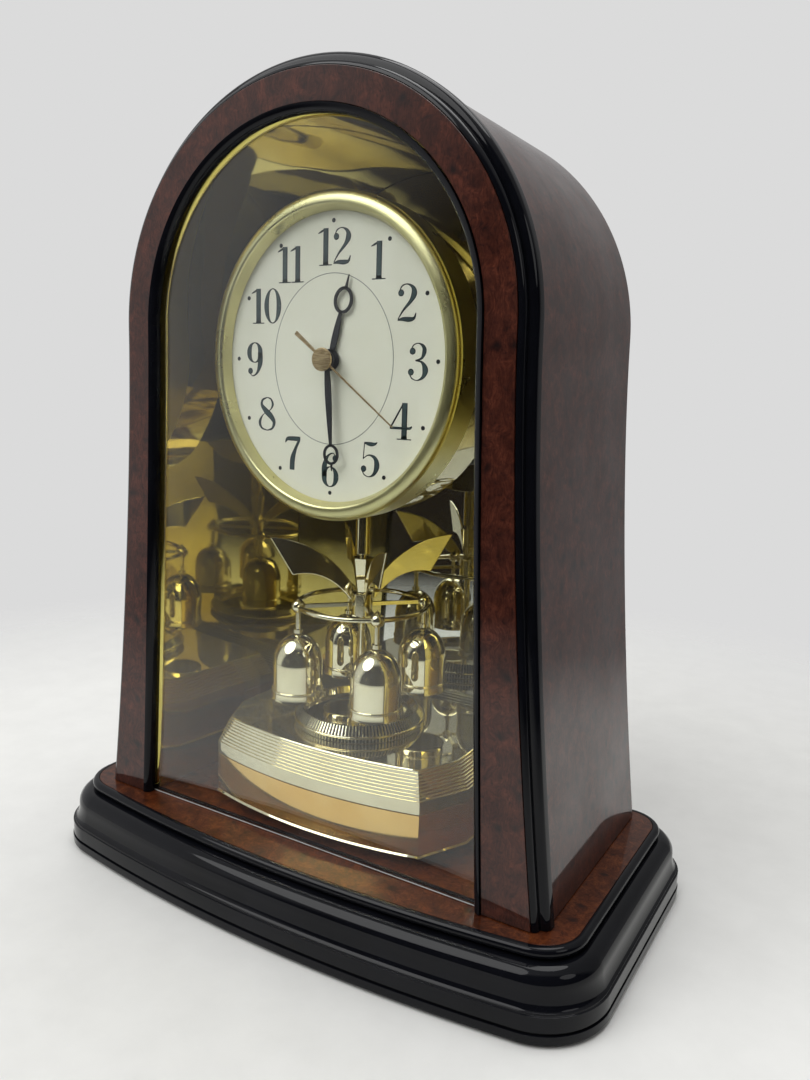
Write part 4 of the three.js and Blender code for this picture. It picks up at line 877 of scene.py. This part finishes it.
def smooth_line(points):
    """Smooth run through points, whose slope at each is that from the point before to the one after."""
    run = []
    padded = [Vector(point) for point in (points[0], *points, points[-1])]
    for before, start, end, after in zip(padded, padded[1:], padded[2:], padded[3:]):
        for step in range(STROKE_STEPS):
            at = step / STROKE_STEPS
            square = at ** 2 * (before - 2.5 * start + 2 * end - after / 2)
            cube = at ** 3 * (1.5 * (start - end) + (after - before) / 2)
            run.append(tuple(start + at * (end - before) / 2 + square + cube))
    return run + [points[-1]]


def disc(bm, x, z, radius, y, steps=24):
    """Flat disc that faces the front."""
    turned = Matrix.Translation((x, y, z)) @ Matrix.Rotation(math.pi / 2, 4, "X")
    bmesh.ops.create_circle(bm, cap_ends=True, segments=steps, radius=radius, matrix=turned)


def numeral(bm, digit, x, z, trim, lift):
    """One digit on the dial, widened a little, its strokes narrowed by a trim on each edge."""
    broad = NUMERAL_HEIGHT * NUMERAL_BREADTH
    y = dial_low.y - lift
    shape = NUMERALS[digit]

    # A band ends where the trim leaves no width, and at the last point, which has none.
    def draw(line):
        run = []
        for across, up, width in [*line, (0, 0, 0)]:
            shown = width * NUMERAL_HEIGHT - 2 * trim
            if shown > 0:
                run.append((x + across * broad, z + up * NUMERAL_HEIGHT, shown))
            else:
                if len(run) > 1:
                    ribbon(bm, run, y)
                run = []

    for stroke in shape.get("strokes", []):
        draw(smooth_line(stroke) if len(stroke) > 2 else stroke)
    for across, up in shape.get("balls", []):
        disc(bm, x + across * broad, z + up * NUMERAL_HEIGHT, BALL * NUMERAL_HEIGHT - trim, y)
    for middle_x, middle_z, half_x, half_z in shape.get("rings", []):
        oval = bend(RING_STEPS, (middle_x, middle_z), (half_x, half_z), 0, 360)
        sideways = [((across - middle_x) / half_x) ** 2 for across, up in oval]
        draw([(*point, HAIR + (STEM - HAIR) * share) for point, share in zip(oval, sideways)])


def numerals(trim, lift):
    """All twelve numerals."""
    bm = bmesh.new()
    for text, (x, z) in NUMERAL_PLACES.items():
        spacing = PAIR_SPACING.get(text, 0) * NUMERAL_HEIGHT
        for index, digit in enumerate(text):
            numeral(bm, digit, x + (index - (len(text) - 1) / 2) * spacing, dial_z + z, trim, lift)
    return bm


ink_y = dial_low.y - INK_LIFT
dial_print = numerals(0.0, INK_LIFT)
for hour in range(HOURS):
    angle = math.radians(360 / HOURS * hour)
    ray = Vector((math.sin(angle), math.cos(angle)))
    reach = 1 / math.hypot(ray.x / DOT_RING[0], ray.y / DOT_RING[1])
    disc(dial_print, ray.x * reach, dial_z + ray.y * reach, DOT_RADIUS, ink_y)
make_piece(dial_print, "dial_print", ink)
print_core = numerals(INK_EDGE, CORE_LIFT)
thin_oval = bend(LINE_STEPS, (0, dial_z), LINE_OVAL, 0, 360)
ribbon(print_core, [(x, z, LINE_WIDTH) for x, z in thin_oval], ink_y)
make_piece(print_core, "dial_print_core", ink_core)


# Bezel and drum: a satin gold oval ring over the dial's edge and the plated gold housing behind it.
# Each is one section turned round the hand axis and stretched upwards into the oval.
# The column carries the drum.
DIAL_OPENING = (51.2, 55.6)
INNER_RUN = 1.3
CREST_ROLL = 1.3
CREST_STEPS = 8
FLANK_DROP = 2.6
FLANK_STEPS = 14
RIM_STEP = 0.5
BEZEL_WALL = 0.7
BEZEL_SEAT = 0.3
BEZEL_STEPS = 180
BEZEL_CREASE = 40
DRUM_BORE = 6.0
DRUM_REAR_LAP = 8.0
DRUM_WALL = 2.0
DRUM_EDGE = 0.3
DRUM_STEPS = 120

satin_gold = finish("satin_gold", (214, 207, 151), (221, 214, 163), roughness=(0.27, 0.33), metal=1.0,
                    relief=0.000006)
gold_plating = finish("gold_plating", (224, 215, 184), (231, 223, 194), roughness=(0.02, 0.05))
bright_metal(gold_plating, shine=0.95)


def oval_lathe(section, steps):
    """Closed section of (growth beyond the dial opening, y) carried round the dial's oval."""
    loop = [(DIAL_OPENING[0] + grow, y) for grow, y in section + section[:1]]
    bm = lathe(loop, "Y", (0, 0, 0), steps)
    for vert in bm.verts:
        radius = math.hypot(vert.co.x, vert.co.z)
        vert.co.z += dial_z + (DIAL_OPENING[1] - DIAL_OPENING[0]) * vert.co.z / radius
    return bm


bezel_low, bezel_high = cad("bezel")
bezel_width = bezel_high.x - DIAL_OPENING[0]
crest = INNER_RUN + CREST_ROLL
flank_y = bezel_low.y + FLANK_DROP
flank_radii = (bezel_width - RIM_STEP - crest, FLANK_DROP)
seat_y = dial_low.y - BEZEL_SEAT
bezel = oval_lathe([
    (0, seat_y),
    *bend(CREST_STEPS, (crest, bezel_low.y + CREST_ROLL), (CREST_ROLL, CREST_ROLL), 180, 270),
    *bend(FLANK_STEPS, (crest, flank_y), flank_radii, 270, 360)[1:],
    (bezel_width, flank_y + RIM_STEP),
    (bezel_width, bezel_high.y),
    (bezel_width - BEZEL_WALL, bezel_high.y),
    (bezel_width - BEZEL_WALL, seat_y),
], BEZEL_STEPS)
make_piece(bezel, "bezel_turned", satin_gold, "bezel", sharp=BEZEL_CREASE)

drum_low, drum_high = cad("dial_housing")
drum_grow = drum_high.x - DIAL_OPENING[0]
bore_grow = DRUM_BORE - DIAL_OPENING[0]
drum = oval_lathe([
    (bore_grow, drum_low.y),
    (drum_grow, drum_low.y),
    (drum_grow, drum_high.y),
    (-DRUM_REAR_LAP, drum_high.y),
    (-DRUM_REAR_LAP, drum_high.y - DRUM_WALL),
    (drum_grow - DRUM_WALL, drum_high.y - DRUM_WALL),
    (drum_grow - DRUM_WALL, drum_low.y + DRUM_WALL),
    (bore_grow, drum_low.y + DRUM_WALL),
], DRUM_STEPS)
make_piece(drum, "dial_drum_skin", gold_plating, "dial_housing",
           round_off=DRUM_EDGE, sharp=SQUARE_CREASE)


# Hands: blue-black hour and minute hands with a leaf, an open oval and a point, a bronze second hand and a
# brushed bronze cap over their middle. They are cut flat and set at the time that the CAD hands show.
HAND_THICKNESS = 0.6
SHOWN_MINUTES = 29.3
SHOWN_SECONDS = 21.2
MARKS_A_TURN = 60
HOUR_HAND = {"boss": 4.2, "leaf": 2.7, "peak": 8, "neck": 1.2, "ring": 23.2, "half_x": 4.3, "half_z": 5.1,
             "band": 1.2, "tip": 33}
MINUTE_HAND = {"boss": 3.4, "leaf": 2.8, "peak": 9, "neck": 0.9, "ring": 36.6, "half_x": 3.6, "half_z": 4,
               "band": 1, "tip": 43}
POINT_WIDTH = 0.12
BOSS_STEPS = 40
OVAL_STEPS = 48
LEAF_STEPS = 24
HOUR_PIPE = 3.1
HOUR_PIPE_STEPS = 32
SECOND_TIP = 40.2
SECOND_TAIL = 16.8
SECOND_WIDTH = 0.75
SECOND_TAIL_WIDTH = 1.6
SECOND_PIN = 0.8
SECOND_PIN_STEPS = 20
PIN_SETBACK = 0.1
CAP_EDGE = 0.3
CAP_EDGE_INNER = 0.1
CAP_TURN_STEPS = 48

hand_black = finish("hand", (12, 14, 20), (22, 24, 32), roughness=(0.42, 0.55), spread="Speck")
brass = finish("brass", (230, 221, 186), (237, 229, 199), roughness=(0.012, 0.03))
bright_metal(brass, shine=0.96)

bronze, tree, shader, place = new_material("bronze")
drawn = vector_sum(tree, "MULTIPLY", place, (350.0, 350.0, 2600.0))
brushed = noise(tree, drawn, scale=1.0, detail=3.0)
feed(tree, shader, {
    "Base Color": ramp(tree, brushed, (0.35, srgb(158, 134, 98)), (0.65, srgb(204, 180, 138))),
    "Metallic": 1.0,
    "Roughness": span(tree, brushed, 0.24, 0.42),
})
dimple(tree, shader, brushed, distance=0.00002)


def oval_band(bm, hand, y):
    """Flat oval ring of a hand."""
    for trim in (0, hand["band"]):
        scale = Matrix.Diagonal((hand["half_x"] - trim, 1, hand["half_z"] - trim, 1))
        turned = Matrix.Translation((0, y, hand["ring"])) @ scale @ Matrix.Rotation(math.pi / 2, 4, "X")
        bmesh.ops.create_circle(bm, segments=OVAL_STEPS, radius=1, matrix=turned)
    bmesh.ops.bridge_loops(bm, edges=[edge for edge in bm.edges if edge.is_wire])


def cut_hand(bm, turns):
    """Gives flat work its thickness and sets it at its time on the dial."""
    bmesh.ops.remove_doubles(bm, verts=bm.verts, dist=MERGE)
    bmesh.ops.recalc_face_normals(bm, faces=bm.faces)
    thicken(bm, bm.faces[:], HAND_THICKNESS)
    turn = Matrix.Rotation(2 * math.pi * turns, 3, "Y")
    bmesh.ops.rotate(bm, cent=(0, 0, 0), matrix=turn, verts=bm.verts)
    bmesh.ops.translate(bm, vec=(0, 0, dial_z), verts=bm.verts)


def spade_hand(hand, y, turns):
    """Hand with a boss, a leaf, an open oval and a point, drawn at twelve o'clock and set at its time."""
    bm = bmesh.new()
    disc(bm, 0, 0, hand["boss"], y, BOSS_STEPS)
    oval_band(bm, hand, y)
    neck_z = hand["ring"] - hand["half_z"] + hand["band"] / 2
    pull = 2 * hand["leaf"] - hand["neck"]
    leaf = []
    for step in range(LEAF_STEPS + 1):
        at = step / LEAF_STEPS
        z = 2 * at * (1 - at) * hand["peak"] + at ** 2 * neck_z
        width = hand["neck"] * ((1 - at) ** 2 + at ** 2) + 2 * at * (1 - at) * pull
        leaf.append((0, z, width))
    ribbon(bm, leaf, y)
    tip_foot = hand["ring"] + hand["half_z"] - hand["band"] / 2
    ribbon(bm, [(0, tip_foot, hand["neck"]), (0, hand["tip"], POINT_WIDTH)], y)
    cut_hand(bm, turns)
    return bm


def add_pin(bm, radius, low, high, steps):
    """Round pin behind a hand."""
    lathe([(radius, PIN_SETBACK), (radius, high.y - low.y)], "Y", (0, low.y, dial_z), steps, bm)
    close_solid(bm)


hour_low, hour_high = cad("hour_hand")
hour_cut = spade_hand(HOUR_HAND, hour_low.y, SHOWN_MINUTES / (HOURS * MARKS_A_TURN))
add_pin(hour_cut, HOUR_PIPE, hour_low, hour_high, HOUR_PIPE_STEPS)
make_piece(hour_cut, "hour_hand_cut", hand_black, "hour_hand", "hour_hand")

minute_low = cad("minute_hand")[0]
minute_cut = spade_hand(MINUTE_HAND, minute_low.y, SHOWN_MINUTES / MARKS_A_TURN)
make_piece(minute_cut, "minute_hand_cut", hand_black, "minute_hand", "minute_hand")
paint(steel, "minute_arbor")

second_low, second_high = cad("second_hand")
second_cut = bmesh.new()
ribbon(second_cut, [
    (0, -SECOND_TAIL, SECOND_TAIL_WIDTH), (0, 0, SECOND_WIDTH), (0, SECOND_TIP, SECOND_WIDTH / 2),
], second_low.y)
cut_hand(second_cut, SHOWN_SECONDS / MARKS_A_TURN)
add_pin(second_cut, SECOND_PIN, second_low, second_high, SECOND_PIN_STEPS)
make_piece(second_cut, "second_hand_cut", bronze, "second_hand", "second_hand")

cap_low, cap_high = cad("hand_cap")
cap_radius = (cap_high.x - cap_low.x) / 2
cap_height = cap_high.y - cap_low.y
hand_cap = lathe([
    (0, 0),
    (cap_radius - CAP_EDGE, 0),
    (cap_radius - CAP_EDGE_INNER, CAP_EDGE_INNER),
    (cap_radius, CAP_EDGE),
    (cap_radius, cap_height),
    (0, cap_height),
], "Y", (0, cap_low.y, dial_z), CAP_TURN_STEPS)
make_piece(hand_cap, "hand_cap_turned", bronze, "hand_cap", "second_hand")


# Movement: a black plastic case behind the drum with a battery bay, two cells, its cover and a setting
# knob. They keep their CAD shapes.
black_plastic = finish("black_plastic", (27, 27, 29), (40, 40, 42), roughness=(0.45, 0.62), spread="Speck",
                       relief=0.00003)
cell = finish("cell", (56, 62, 68), (72, 78, 84), roughness=(0.32, 0.45), spread="Speck", metal=0.3)
paint(black_plastic, "movement_case", "battery_cover", "setting_knob")
paint(cell, "battery_1", "battery_2")


# Pedestal: a black riser, a plated fascia with a lip at its foot, a plated cap that climbs to the deck in
# fine steps, two dark screws and a knurled collar round the spindle. The plan has a bowed front between
# chamfers. It stands on the top board and hides the motor.
DECK_HALF_WIDTH = 57.0
DECK_BOW_RADIUS = 197.0
DECK_BOW_STEPS = 16
DECK_FRONT_Y = -36.8
DECK_REAR_Y = 43.0
DECK_CORNER = (48.3, -30.8)
DECK_CHAMFER_END_Y = -13.1
FASCIA_WALL = 2.2
FASCIA_LIP = 0.7
FASCIA_EDGE = 0.15
CAP_BAND = 5.4
CAP_STEPS = 9
STEP_RUN = 0.55
STEP_EDGE = 0.12
DECK_CHAMFER = 0.45
COLLAR_RING = 29.0
COLLAR_RING_Z = 2.5
COLLAR_RING_ROLL = 0.55
COLLAR_RING_STEPS = 8
COLLAR_FOOT = 28.3
COLLAR_TOP = 25.9
COLLAR_TOP_WIDTH = 0.9
COLLAR_DISH = 23.4
COLLAR_DISH_DEPTH = 2.9
COLLAR_BORE = 2.0
COLLAR_CREASE = 25
KNURL_TEETH = 120
KNURL_DEPTH = 0.8
STEPS_PER_TOOTH = 4


def deck_plan(bm, grow, z):
    """Pedestal outline at a height, grown out from the deck's edge."""
    bow_y = DECK_FRONT_Y + DECK_BOW_RADIUS
    turn = math.atan2(DECK_CORNER[0], bow_y - DECK_CORNER[1])
    face = outline(bm, z, (0, DECK_FRONT_Y), [
        {"centre": (0, bow_y), "turn": turn, "steps": DECK_BOW_STEPS},
        {"to": (DECK_HALF_WIDTH, DECK_CHAMFER_END_Y)},
        {"to": (DECK_HALF_WIDTH, DECK_REAR_Y)},
        {"to": (0, DECK_REAR_Y)},
    ])
    return next_level(bm, face, grow, z)


deep_gold = finish("deep_gold", (228, 186, 112), (235, 197, 126), roughness=(0.04, 0.09))
bright_metal(deep_gold, shine=0.95)
fascia_low, fascia_high = cad("pedestal_fascia")
cap_foot, cap_top = cad("pedestal_cap")
fascia_grow = CAP_STEPS * STEP_RUN
lip_top = fascia_low.z + 2 * FASCIA_LIP
paint(black_plastic, "pedestal_riser")
fascia = climb(deck_plan, [
    (fascia_grow - FASCIA_WALL, fascia_low.z),
    (fascia_grow, fascia_low.z),
    (fascia_grow + FASCIA_LIP, fascia_low.z + FASCIA_LIP),
    (fascia_grow, lip_top),
    (fascia_grow, fascia_high.z),
    (fascia_grow - FASCIA_WALL, fascia_high.z),
], hollow=True)
for face in fascia.faces:
    face.material_index = int(face.calc_center_median().z < lip_top)
make_piece(fascia, "pedestal_fascia_plated", deep_gold, "pedestal_fascia",
           extra=(gold_plating,), round_off=FASCIA_EDGE)

step_rise = (cap_top.z - cap_foot.z - CAP_BAND) / CAP_STEPS
profile = [(fascia_grow, cap_foot.z), (fascia_grow, cap_foot.z + CAP_BAND)]
for step in range(1, CAP_STEPS + 1):
    tread_z = cap_foot.z + CAP_BAND + (step - 1) * step_rise
    profile.append((fascia_grow - step * STEP_RUN, tread_z))
    profile.append((fascia_grow - step * STEP_RUN, tread_z + step_rise))
profile[-1] = (0, cap_top.z - DECK_CHAMFER)
profile.append((-DECK_CHAMFER, cap_top.z))
make_piece(climb(deck_plan, profile), "pedestal_cap_plated", gold_plating, "pedestal_cap",
           round_off=STEP_EDGE)
paint(black_plastic, "deck_screw_left", "deck_screw_right")

# Knurled brass: by the angle round the collar its colour is dark in each groove and pale on each ridge,
# painted shade in the grooves, which are rougher as well.
knurled_brass, tree, shader, place = new_material("knurled_brass")
parts = add(tree, "ShaderNodeSeparateXYZ", {0: place}).outputs
angle = number_sum(tree, "ARCTAN2", parts["Y"], parts["X"])
phase = number_sum(tree, "MULTIPLY_ADD", angle, KNURL_TEETH, -math.pi / STEPS_PER_TOOTH)
painted_groove_shade = span(tree, number_sum(tree, "COSINE", phase), 0.0, 1.0, start=-0.5, end=0.6)
feed(tree, shader, {
    "Base Color": ramp(tree, painted_groove_shade, (0.0, srgb(52, 46, 32)), (1.0, srgb(237, 231, 204))),
    "Roughness": span(tree, painted_groove_shade, 0.4, 0.12),
})
bright_metal(knurled_brass, shine=0.9)

collar_low, collar_high = cad("collar")
ring_centre = (COLLAR_RING - COLLAR_RING_ROLL, collar_low.z + COLLAR_RING_Z)
dish_z = collar_high.z - COLLAR_DISH_DEPTH
lower_row = [(COLLAR_FOOT, collar_low.z), (COLLAR_FOOT, ring_centre[1] - COLLAR_RING_ROLL)]
upper_row = [(COLLAR_FOOT, ring_centre[1] + COLLAR_RING_ROLL), (COLLAR_TOP, collar_high.z)]
collar_steps = STEPS_PER_TOOTH * KNURL_TEETH
collar = lathe([
    (COLLAR_BORE, collar_low.z),
    *lower_row,
    *bend(COLLAR_RING_STEPS, ring_centre, (COLLAR_RING_ROLL, COLLAR_RING_ROLL), -90, 90),
    *upper_row,
    (COLLAR_TOP - COLLAR_TOP_WIDTH, collar_high.z),
    (COLLAR_DISH, dish_z),
    (COLLAR_BORE, dish_z),
    (COLLAR_BORE, collar_low.z),
], "Z", (0, 0, 0), collar_steps)
knurled = set()
for vert in collar.verts:
    radius = math.hypot(vert.co.x, vert.co.y)
    rows = lower_row + upper_row
    if any(abs(vert.co.z - z) < NEAR and abs(radius - corner) < NEAR for corner, z in rows):
        knurled.add(vert)
        step = round(math.atan2(vert.co.y, vert.co.x) / (2 * math.pi) * collar_steps)
        if step % STEPS_PER_TOOTH >= STEPS_PER_TOOTH / 2:
            vert.co.xy *= (radius - KNURL_DEPTH) / radius
for face in collar.faces:
    face.material_index = int(knurled.issuperset(face.verts))
make_piece(collar, "collar_knurled", brass, "collar", extra=(knurled_brass,), sharp=COLLAR_CREASE)
paint(steel, "drive_motor")


# Pendulum: a spindle with a hub, a wire ring on four spokes, four pointed leaves and four bells on hangers.
# Everything is bright pale gold and turns with the spindle, which runs in the column under the drum.
PENDULUM_TURN = math.radians(46.5)
SPINDLE_STEPS = 32
COLUMN_RADIUS = 3.5
COLUMN_EDGE = 0.2
COLUMN_STEPS = 40
RING_RADIUS = 27.9
RING_WIRE = 1.1
WIRE_STEPS = 16
RING_TURN_STEPS = 120
SPOKE = 1.6
HUB_BOSS = 4.4
HUB_WAIST = 2.7
HUB_TOP = 5.0
HUB_TAPER = 15.6
HUB_BOSS_HEIGHT = 9.5
HUB_EDGE = 0.15
HUB_SIDES = 6
LEAF_THICKNESS = 1.1
LEAF_EDGE = 0.5
LEAF_TIP = (40.2, 152.2)
LEAF_CORNER = (30.5, 135.5)
LEAF_ROOT_TOP = 131.0
LEAF_TOP_PULL = (17.5, 150.3)
LEAF_FOOT_PULL = (15.5, 138.5)
BELL_RADIUS = 10.7
BELL_WALL = 0.9
BELL_DOME = 13.0
BELL_FLARE = 0.6
BELL_SKIRT = 0.3
BELL_ROLL = 0.7
BELL_BEAD_HEIGHT = 3.6
BELL_BEAD = 0.6
BELL_ARC = {"outer": 16, "bead": 6, "inner": 12}
BELL_STEPS = 64
BELL_CREASE = 40
BALL_RADIUS = 3.0
BALL_TIP = 1.5
BALL_ARC = 14
BALL_TIP_ANGLE = 68
STEM_RADIUS = 1.1
STEM_COLLAR = 2.0
STEM_COLLAR_HEIGHT = 1.6
STEM_STEPS = 32

ring_low, ring_high = cad("pendulum_ring")
ring_z = (ring_low.z + ring_high.z) / 2
hub_low, hub_high = cad("hub")
column_low, column_high = cad("column")
spindle_low, spindle_high = cad("spindle")


def quarter_turn(number):
    """Turn of one of the four arms about the spindle."""
    return Matrix.Rotation(PENDULUM_TURN + number * math.pi / 2, 4, "Z")


def rod(radius, foot, top, steps, bm=None):
    """Upright round rod on the spindle's axis."""
    return lathe([(0, foot), (radius, foot), (radius, top), (0, top)], "Z", (0, 0, 0), steps, bm)


spindle = rod(spindle_high.x, spindle_low.z, spindle_high.z, SPINDLE_STEPS)
make_piece(spindle, "spindle_turned", brass, "spindle", "pendulum")

column = lathe([(COLUMN_RADIUS, column_low.z), (COLUMN_RADIUS, column_high.z)], "Z", (0, 0, 0), COLUMN_STEPS)
close_solid(column)
make_piece(column, "column_turned", brass, "column", round_off=COLUMN_EDGE)

boss_top = hub_low.z + HUB_BOSS_HEIGHT
hub = lathe([
    (0, boss_top),
    (HUB_WAIST, boss_top),
    (HUB_WAIST, hub_high.z - HUB_TAPER),
    (HUB_TOP, hub_high.z),
    (0, hub_high.z),
], "Z", (0, 0, 0), HUB_SIDES)
bmesh.ops.transform(hub, matrix=quarter_turn(1), verts=hub.verts)
rod(HUB_BOSS, hub_low.z, boss_top, COLUMN_STEPS, hub)
make_piece(hub, "hub_turned", brass, "hub", "pendulum", round_off=HUB_EDGE)

wire = bend(WIRE_STEPS, (RING_RADIUS, ring_z), (RING_WIRE, RING_WIRE), 0, 360)
ring = lathe(wire, "Z", (0, 0, 0), RING_TURN_STEPS)
spoke_length = RING_RADIUS - HUB_BOSS
spoke_place = Matrix.Translation((HUB_BOSS + spoke_length / 2, 0, ring_z))
for number in range(4):
    block(ring, quarter_turn(number) @ spoke_place, (spoke_length, SPOKE, SPOKE))
make_piece(ring, "pendulum_ring_turned", brass, "pendulum_ring", "pendulum")


def pulled(start, pull, end):
    """Curve from start to end that leans towards a pull point."""
    line = []
    for step in range(LEAF_STEPS + 1):
        at = step / LEAF_STEPS
        shares = ((1 - at) ** 2, 2 * at * (1 - at), at ** 2)
        line.append(tuple(sum(map(math.prod, zip(shares, places))) for places in zip(start, pull, end)))
    return line


leaf_root = HUB_BOSS + FIT_GAP
leaf_foot = (leaf_root, ring_z + SPOKE / 2 + FIT_GAP)
leaf_line = pulled(leaf_foot, LEAF_FOOT_PULL, LEAF_CORNER)
leaf_line += pulled(LEAF_TIP, LEAF_TOP_PULL, (leaf_root, LEAF_ROOT_TOP))
for number in range(4):
    leaf = plate(leaf_line, -LEAF_THICKNESS / 2, LEAF_THICKNESS)
    bmesh.ops.transform(leaf, matrix=quarter_turn(number), verts=leaf.verts)
    node = f"leaf_{number + 1}"
    make_piece(leaf, f"{node}_blade", brass, node, "pendulum", round_off=LEAF_EDGE)

bell_low, bell_high = cad("bell_1")
dome_z = bell_high.z - BELL_DOME
bead_z = bell_low.z + BELL_BEAD_HEIGHT
bell_bore = BELL_RADIUS - BELL_WALL
skirt = BELL_RADIUS + BELL_SKIRT
bell_profile = [
    *bend(BELL_ARC["outer"], (0, dome_z), (BELL_RADIUS, BELL_DOME), 90, 0),
    (BELL_RADIUS, bead_z + BELL_BEAD),
    *bend(BELL_ARC["bead"], (BELL_RADIUS, bead_z), (BELL_BEAD, BELL_BEAD), 90, -90),
    (skirt, bead_z - BELL_BEAD),
    (skirt, bell_low.z + BELL_ROLL),
    (BELL_RADIUS + BELL_FLARE, bell_low.z),
    (bell_bore, bell_low.z),
    *bend(BELL_ARC["inner"], (0, dome_z), (bell_bore, BELL_DOME - BELL_WALL), 0, 90),
]
hanger_low = cad("bell_hanger_1")[0]
stem_angle = -math.degrees(math.acos(STEM_RADIUS / BALL_RADIUS))
hanger_profile = [
    (0, hanger_low.z),
    (STEM_COLLAR, hanger_low.z),
    (STEM_COLLAR, hanger_low.z + STEM_COLLAR_HEIGHT),
    (STEM_RADIUS, hanger_low.z + STEM_COLLAR_HEIGHT),
    *bend(BALL_ARC, (0, ring_z), (BALL_RADIUS, BALL_RADIUS), stem_angle, BALL_TIP_ANGLE),
    (0, ring_z + BALL_RADIUS + BALL_TIP),
]
turned_pieces = {"bell": (bell_profile, BELL_STEPS), "bell_hanger": (hanger_profile, STEM_STEPS)}
for number in range(4):
    arm = quarter_turn(number) @ Vector((RING_RADIUS, 0, 0))
    for kind, (profile, steps) in turned_pieces.items():
        turned = lathe(profile, "Z", (arm.x, arm.y, 0), steps)
        node = f"{kind}_{number + 1}"
        make_piece(turned, f"{node}_turned", brass, node, "pendulum", sharp=BELL_CREASE)


# Floor and light: a plain pale surface, which isn't part of the clock, under a pale world and three soft
# lamps. Away from the clock the floor fades into the world for the camera, metal and glass. Metal and
# glass see that the world is darker on the camera's side.
FLOOR_SIZE = 12.0
FADE_START = 0.3
FADE_END = 0.55
DARK_SIDE = (0.62, -0.78, -0.45)
BRIGHT_SIDE = (-0.55, -0.65, 0.35)
DIFFUSE_STRENGTH = (0.72, 0.72, 0.72, 1)
CAMERA_STRENGTH = (1, 1, 1, 1)
LAMP_AIM = (0, 0, 0.15)


def seen_rays(tree):
    """Share of a ray that comes from the camera, metal or glass."""
    rays = add(tree, "ShaderNodeLightPath").outputs
    either = number_sum(tree, "MAXIMUM", rays["Is Camera Ray"], rays["Is Glossy Ray"])
    return number_sum(tree, "MAXIMUM", either, rays["Is Transmission Ray"])


floor_paint, tree, shader, place = new_material("floor_paint")
smear = from_group(tree, handling, place)["Smear"]
feed(tree, shader, {
    "Base Color": ramp(tree, smear, (0.0, srgb(224, 224, 221)), (1.0, srgb(228, 228, 225))),
    "Roughness": 0.6,
})
far = span(tree, vector_sum(tree, "LENGTH", place, output="Value"), 0.0, 1.0, FADE_START, FADE_END)
see_through(tree, shader, number_sum(tree, "MULTIPLY", far, seen_rays(tree)))
bm = bmesh.new()
bmesh.ops.create_grid(bm, x_segments=1, y_segments=1, size=FLOOR_SIZE / 2)
mesh = bpy.data.meshes.new("floor")
bm.to_mesh(mesh)
bm.free()
mesh.materials.append(floor_paint)
floor = bpy.data.objects.new("floor", mesh)
bpy.context.scene.collection.objects.link(floor)

world = bpy.data.worlds.new("studio")
world.use_nodes = True
bpy.context.scene.world = world
tree = world.node_tree
direction = add(tree, "ShaderNodeTexCoord").outputs["Generated"]
from_camera = add(tree, "ShaderNodeLightPath").outputs["Is Camera Ray"]
facing = vector_sum(tree, "DOT_PRODUCT", direction, DARK_SIDE, output="Value")
shade = span(tree, facing, 0.0, 1.0, start=0.1, end=0.32)
dark_share = number_sum(tree, "SUBTRACT", shade, from_camera, use_clamp=True)
lean = vector_sum(tree, "DOT_PRODUCT", direction, BRIGHT_SIDE, output="Value")
seen = mix(tree, from_camera, span(tree, lean, 0.4, 1.05, start=-0.7, end=0.85), CAMERA_STRENGTH)
feed(tree, tree.nodes["Background"], {
    "Color": ramp(tree, dark_share, (0.0, srgb(219, 219, 219)), (1.0, srgb(34, 29, 28))),
    "Strength": mix(tree, seen_rays(tree), DIFFUSE_STRENGTH, seen),
})


def soft_lamp(name, place, size, power):
    """Round soft lamp that points at the clock."""
    lamp = bpy.data.lights.new(name, "AREA")
    lamp.shape = "DISK"
    lamp.size = size
    lamp.energy = power
    holder = bpy.data.objects.new(name, lamp)
    holder.location = place
    holder.rotation_euler = (Vector(LAMP_AIM) - Vector(place)).to_track_quat("-Z", "Y").to_euler()
    bpy.context.scene.collection.objects.link(holder)


soft_lamp("key_lamp", place=(-0.65, -1.15, 1.7), size=1.9, power=30)
soft_lamp("side_lamp", place=(1.3, -0.3, 0.9), size=0.6, power=1.5)
soft_lamp("top_lamp", place=(0.1, 0.3, 1.6), size=1.0, power=9)


# Camera: it stands to the right of the clock and a little above its middle, at the photograph's angle.
# Its place, turn and lens were solved from the arch, the straight sides and the plinth.
CAMERA_PLACE = (0.2064, -0.3106, 0.2169)
YAW = 0.5401
PITCH = -0.1763
ROLL = 0.0303
LENS = 29.34
CLIP_START = 0.01

ahead = Vector((-math.sin(YAW) * math.cos(PITCH), math.cos(YAW) * math.cos(PITCH), math.sin(PITCH)))
level = Vector((math.cos(YAW), math.sin(YAW), 0))
upright = level.cross(ahead)
right = math.cos(ROLL) * level + math.sin(ROLL) * upright
up = -math.sin(ROLL) * level + math.cos(ROLL) * upright
camera = bpy.data.objects.new("camera", bpy.data.cameras.new("camera"))
camera.data.lens = LENS
camera.data.clip_start = CLIP_START
turn = Matrix((right, up, -ahead)).transposed().to_4x4()
camera.matrix_world = Matrix.Translation(CAMERA_PLACE) @ turn
bpy.context.scene.collection.objects.link(camera)
bpy.context.scene.camera = camera
bpy.context.scene.view_settings.view_transform = "Standard"
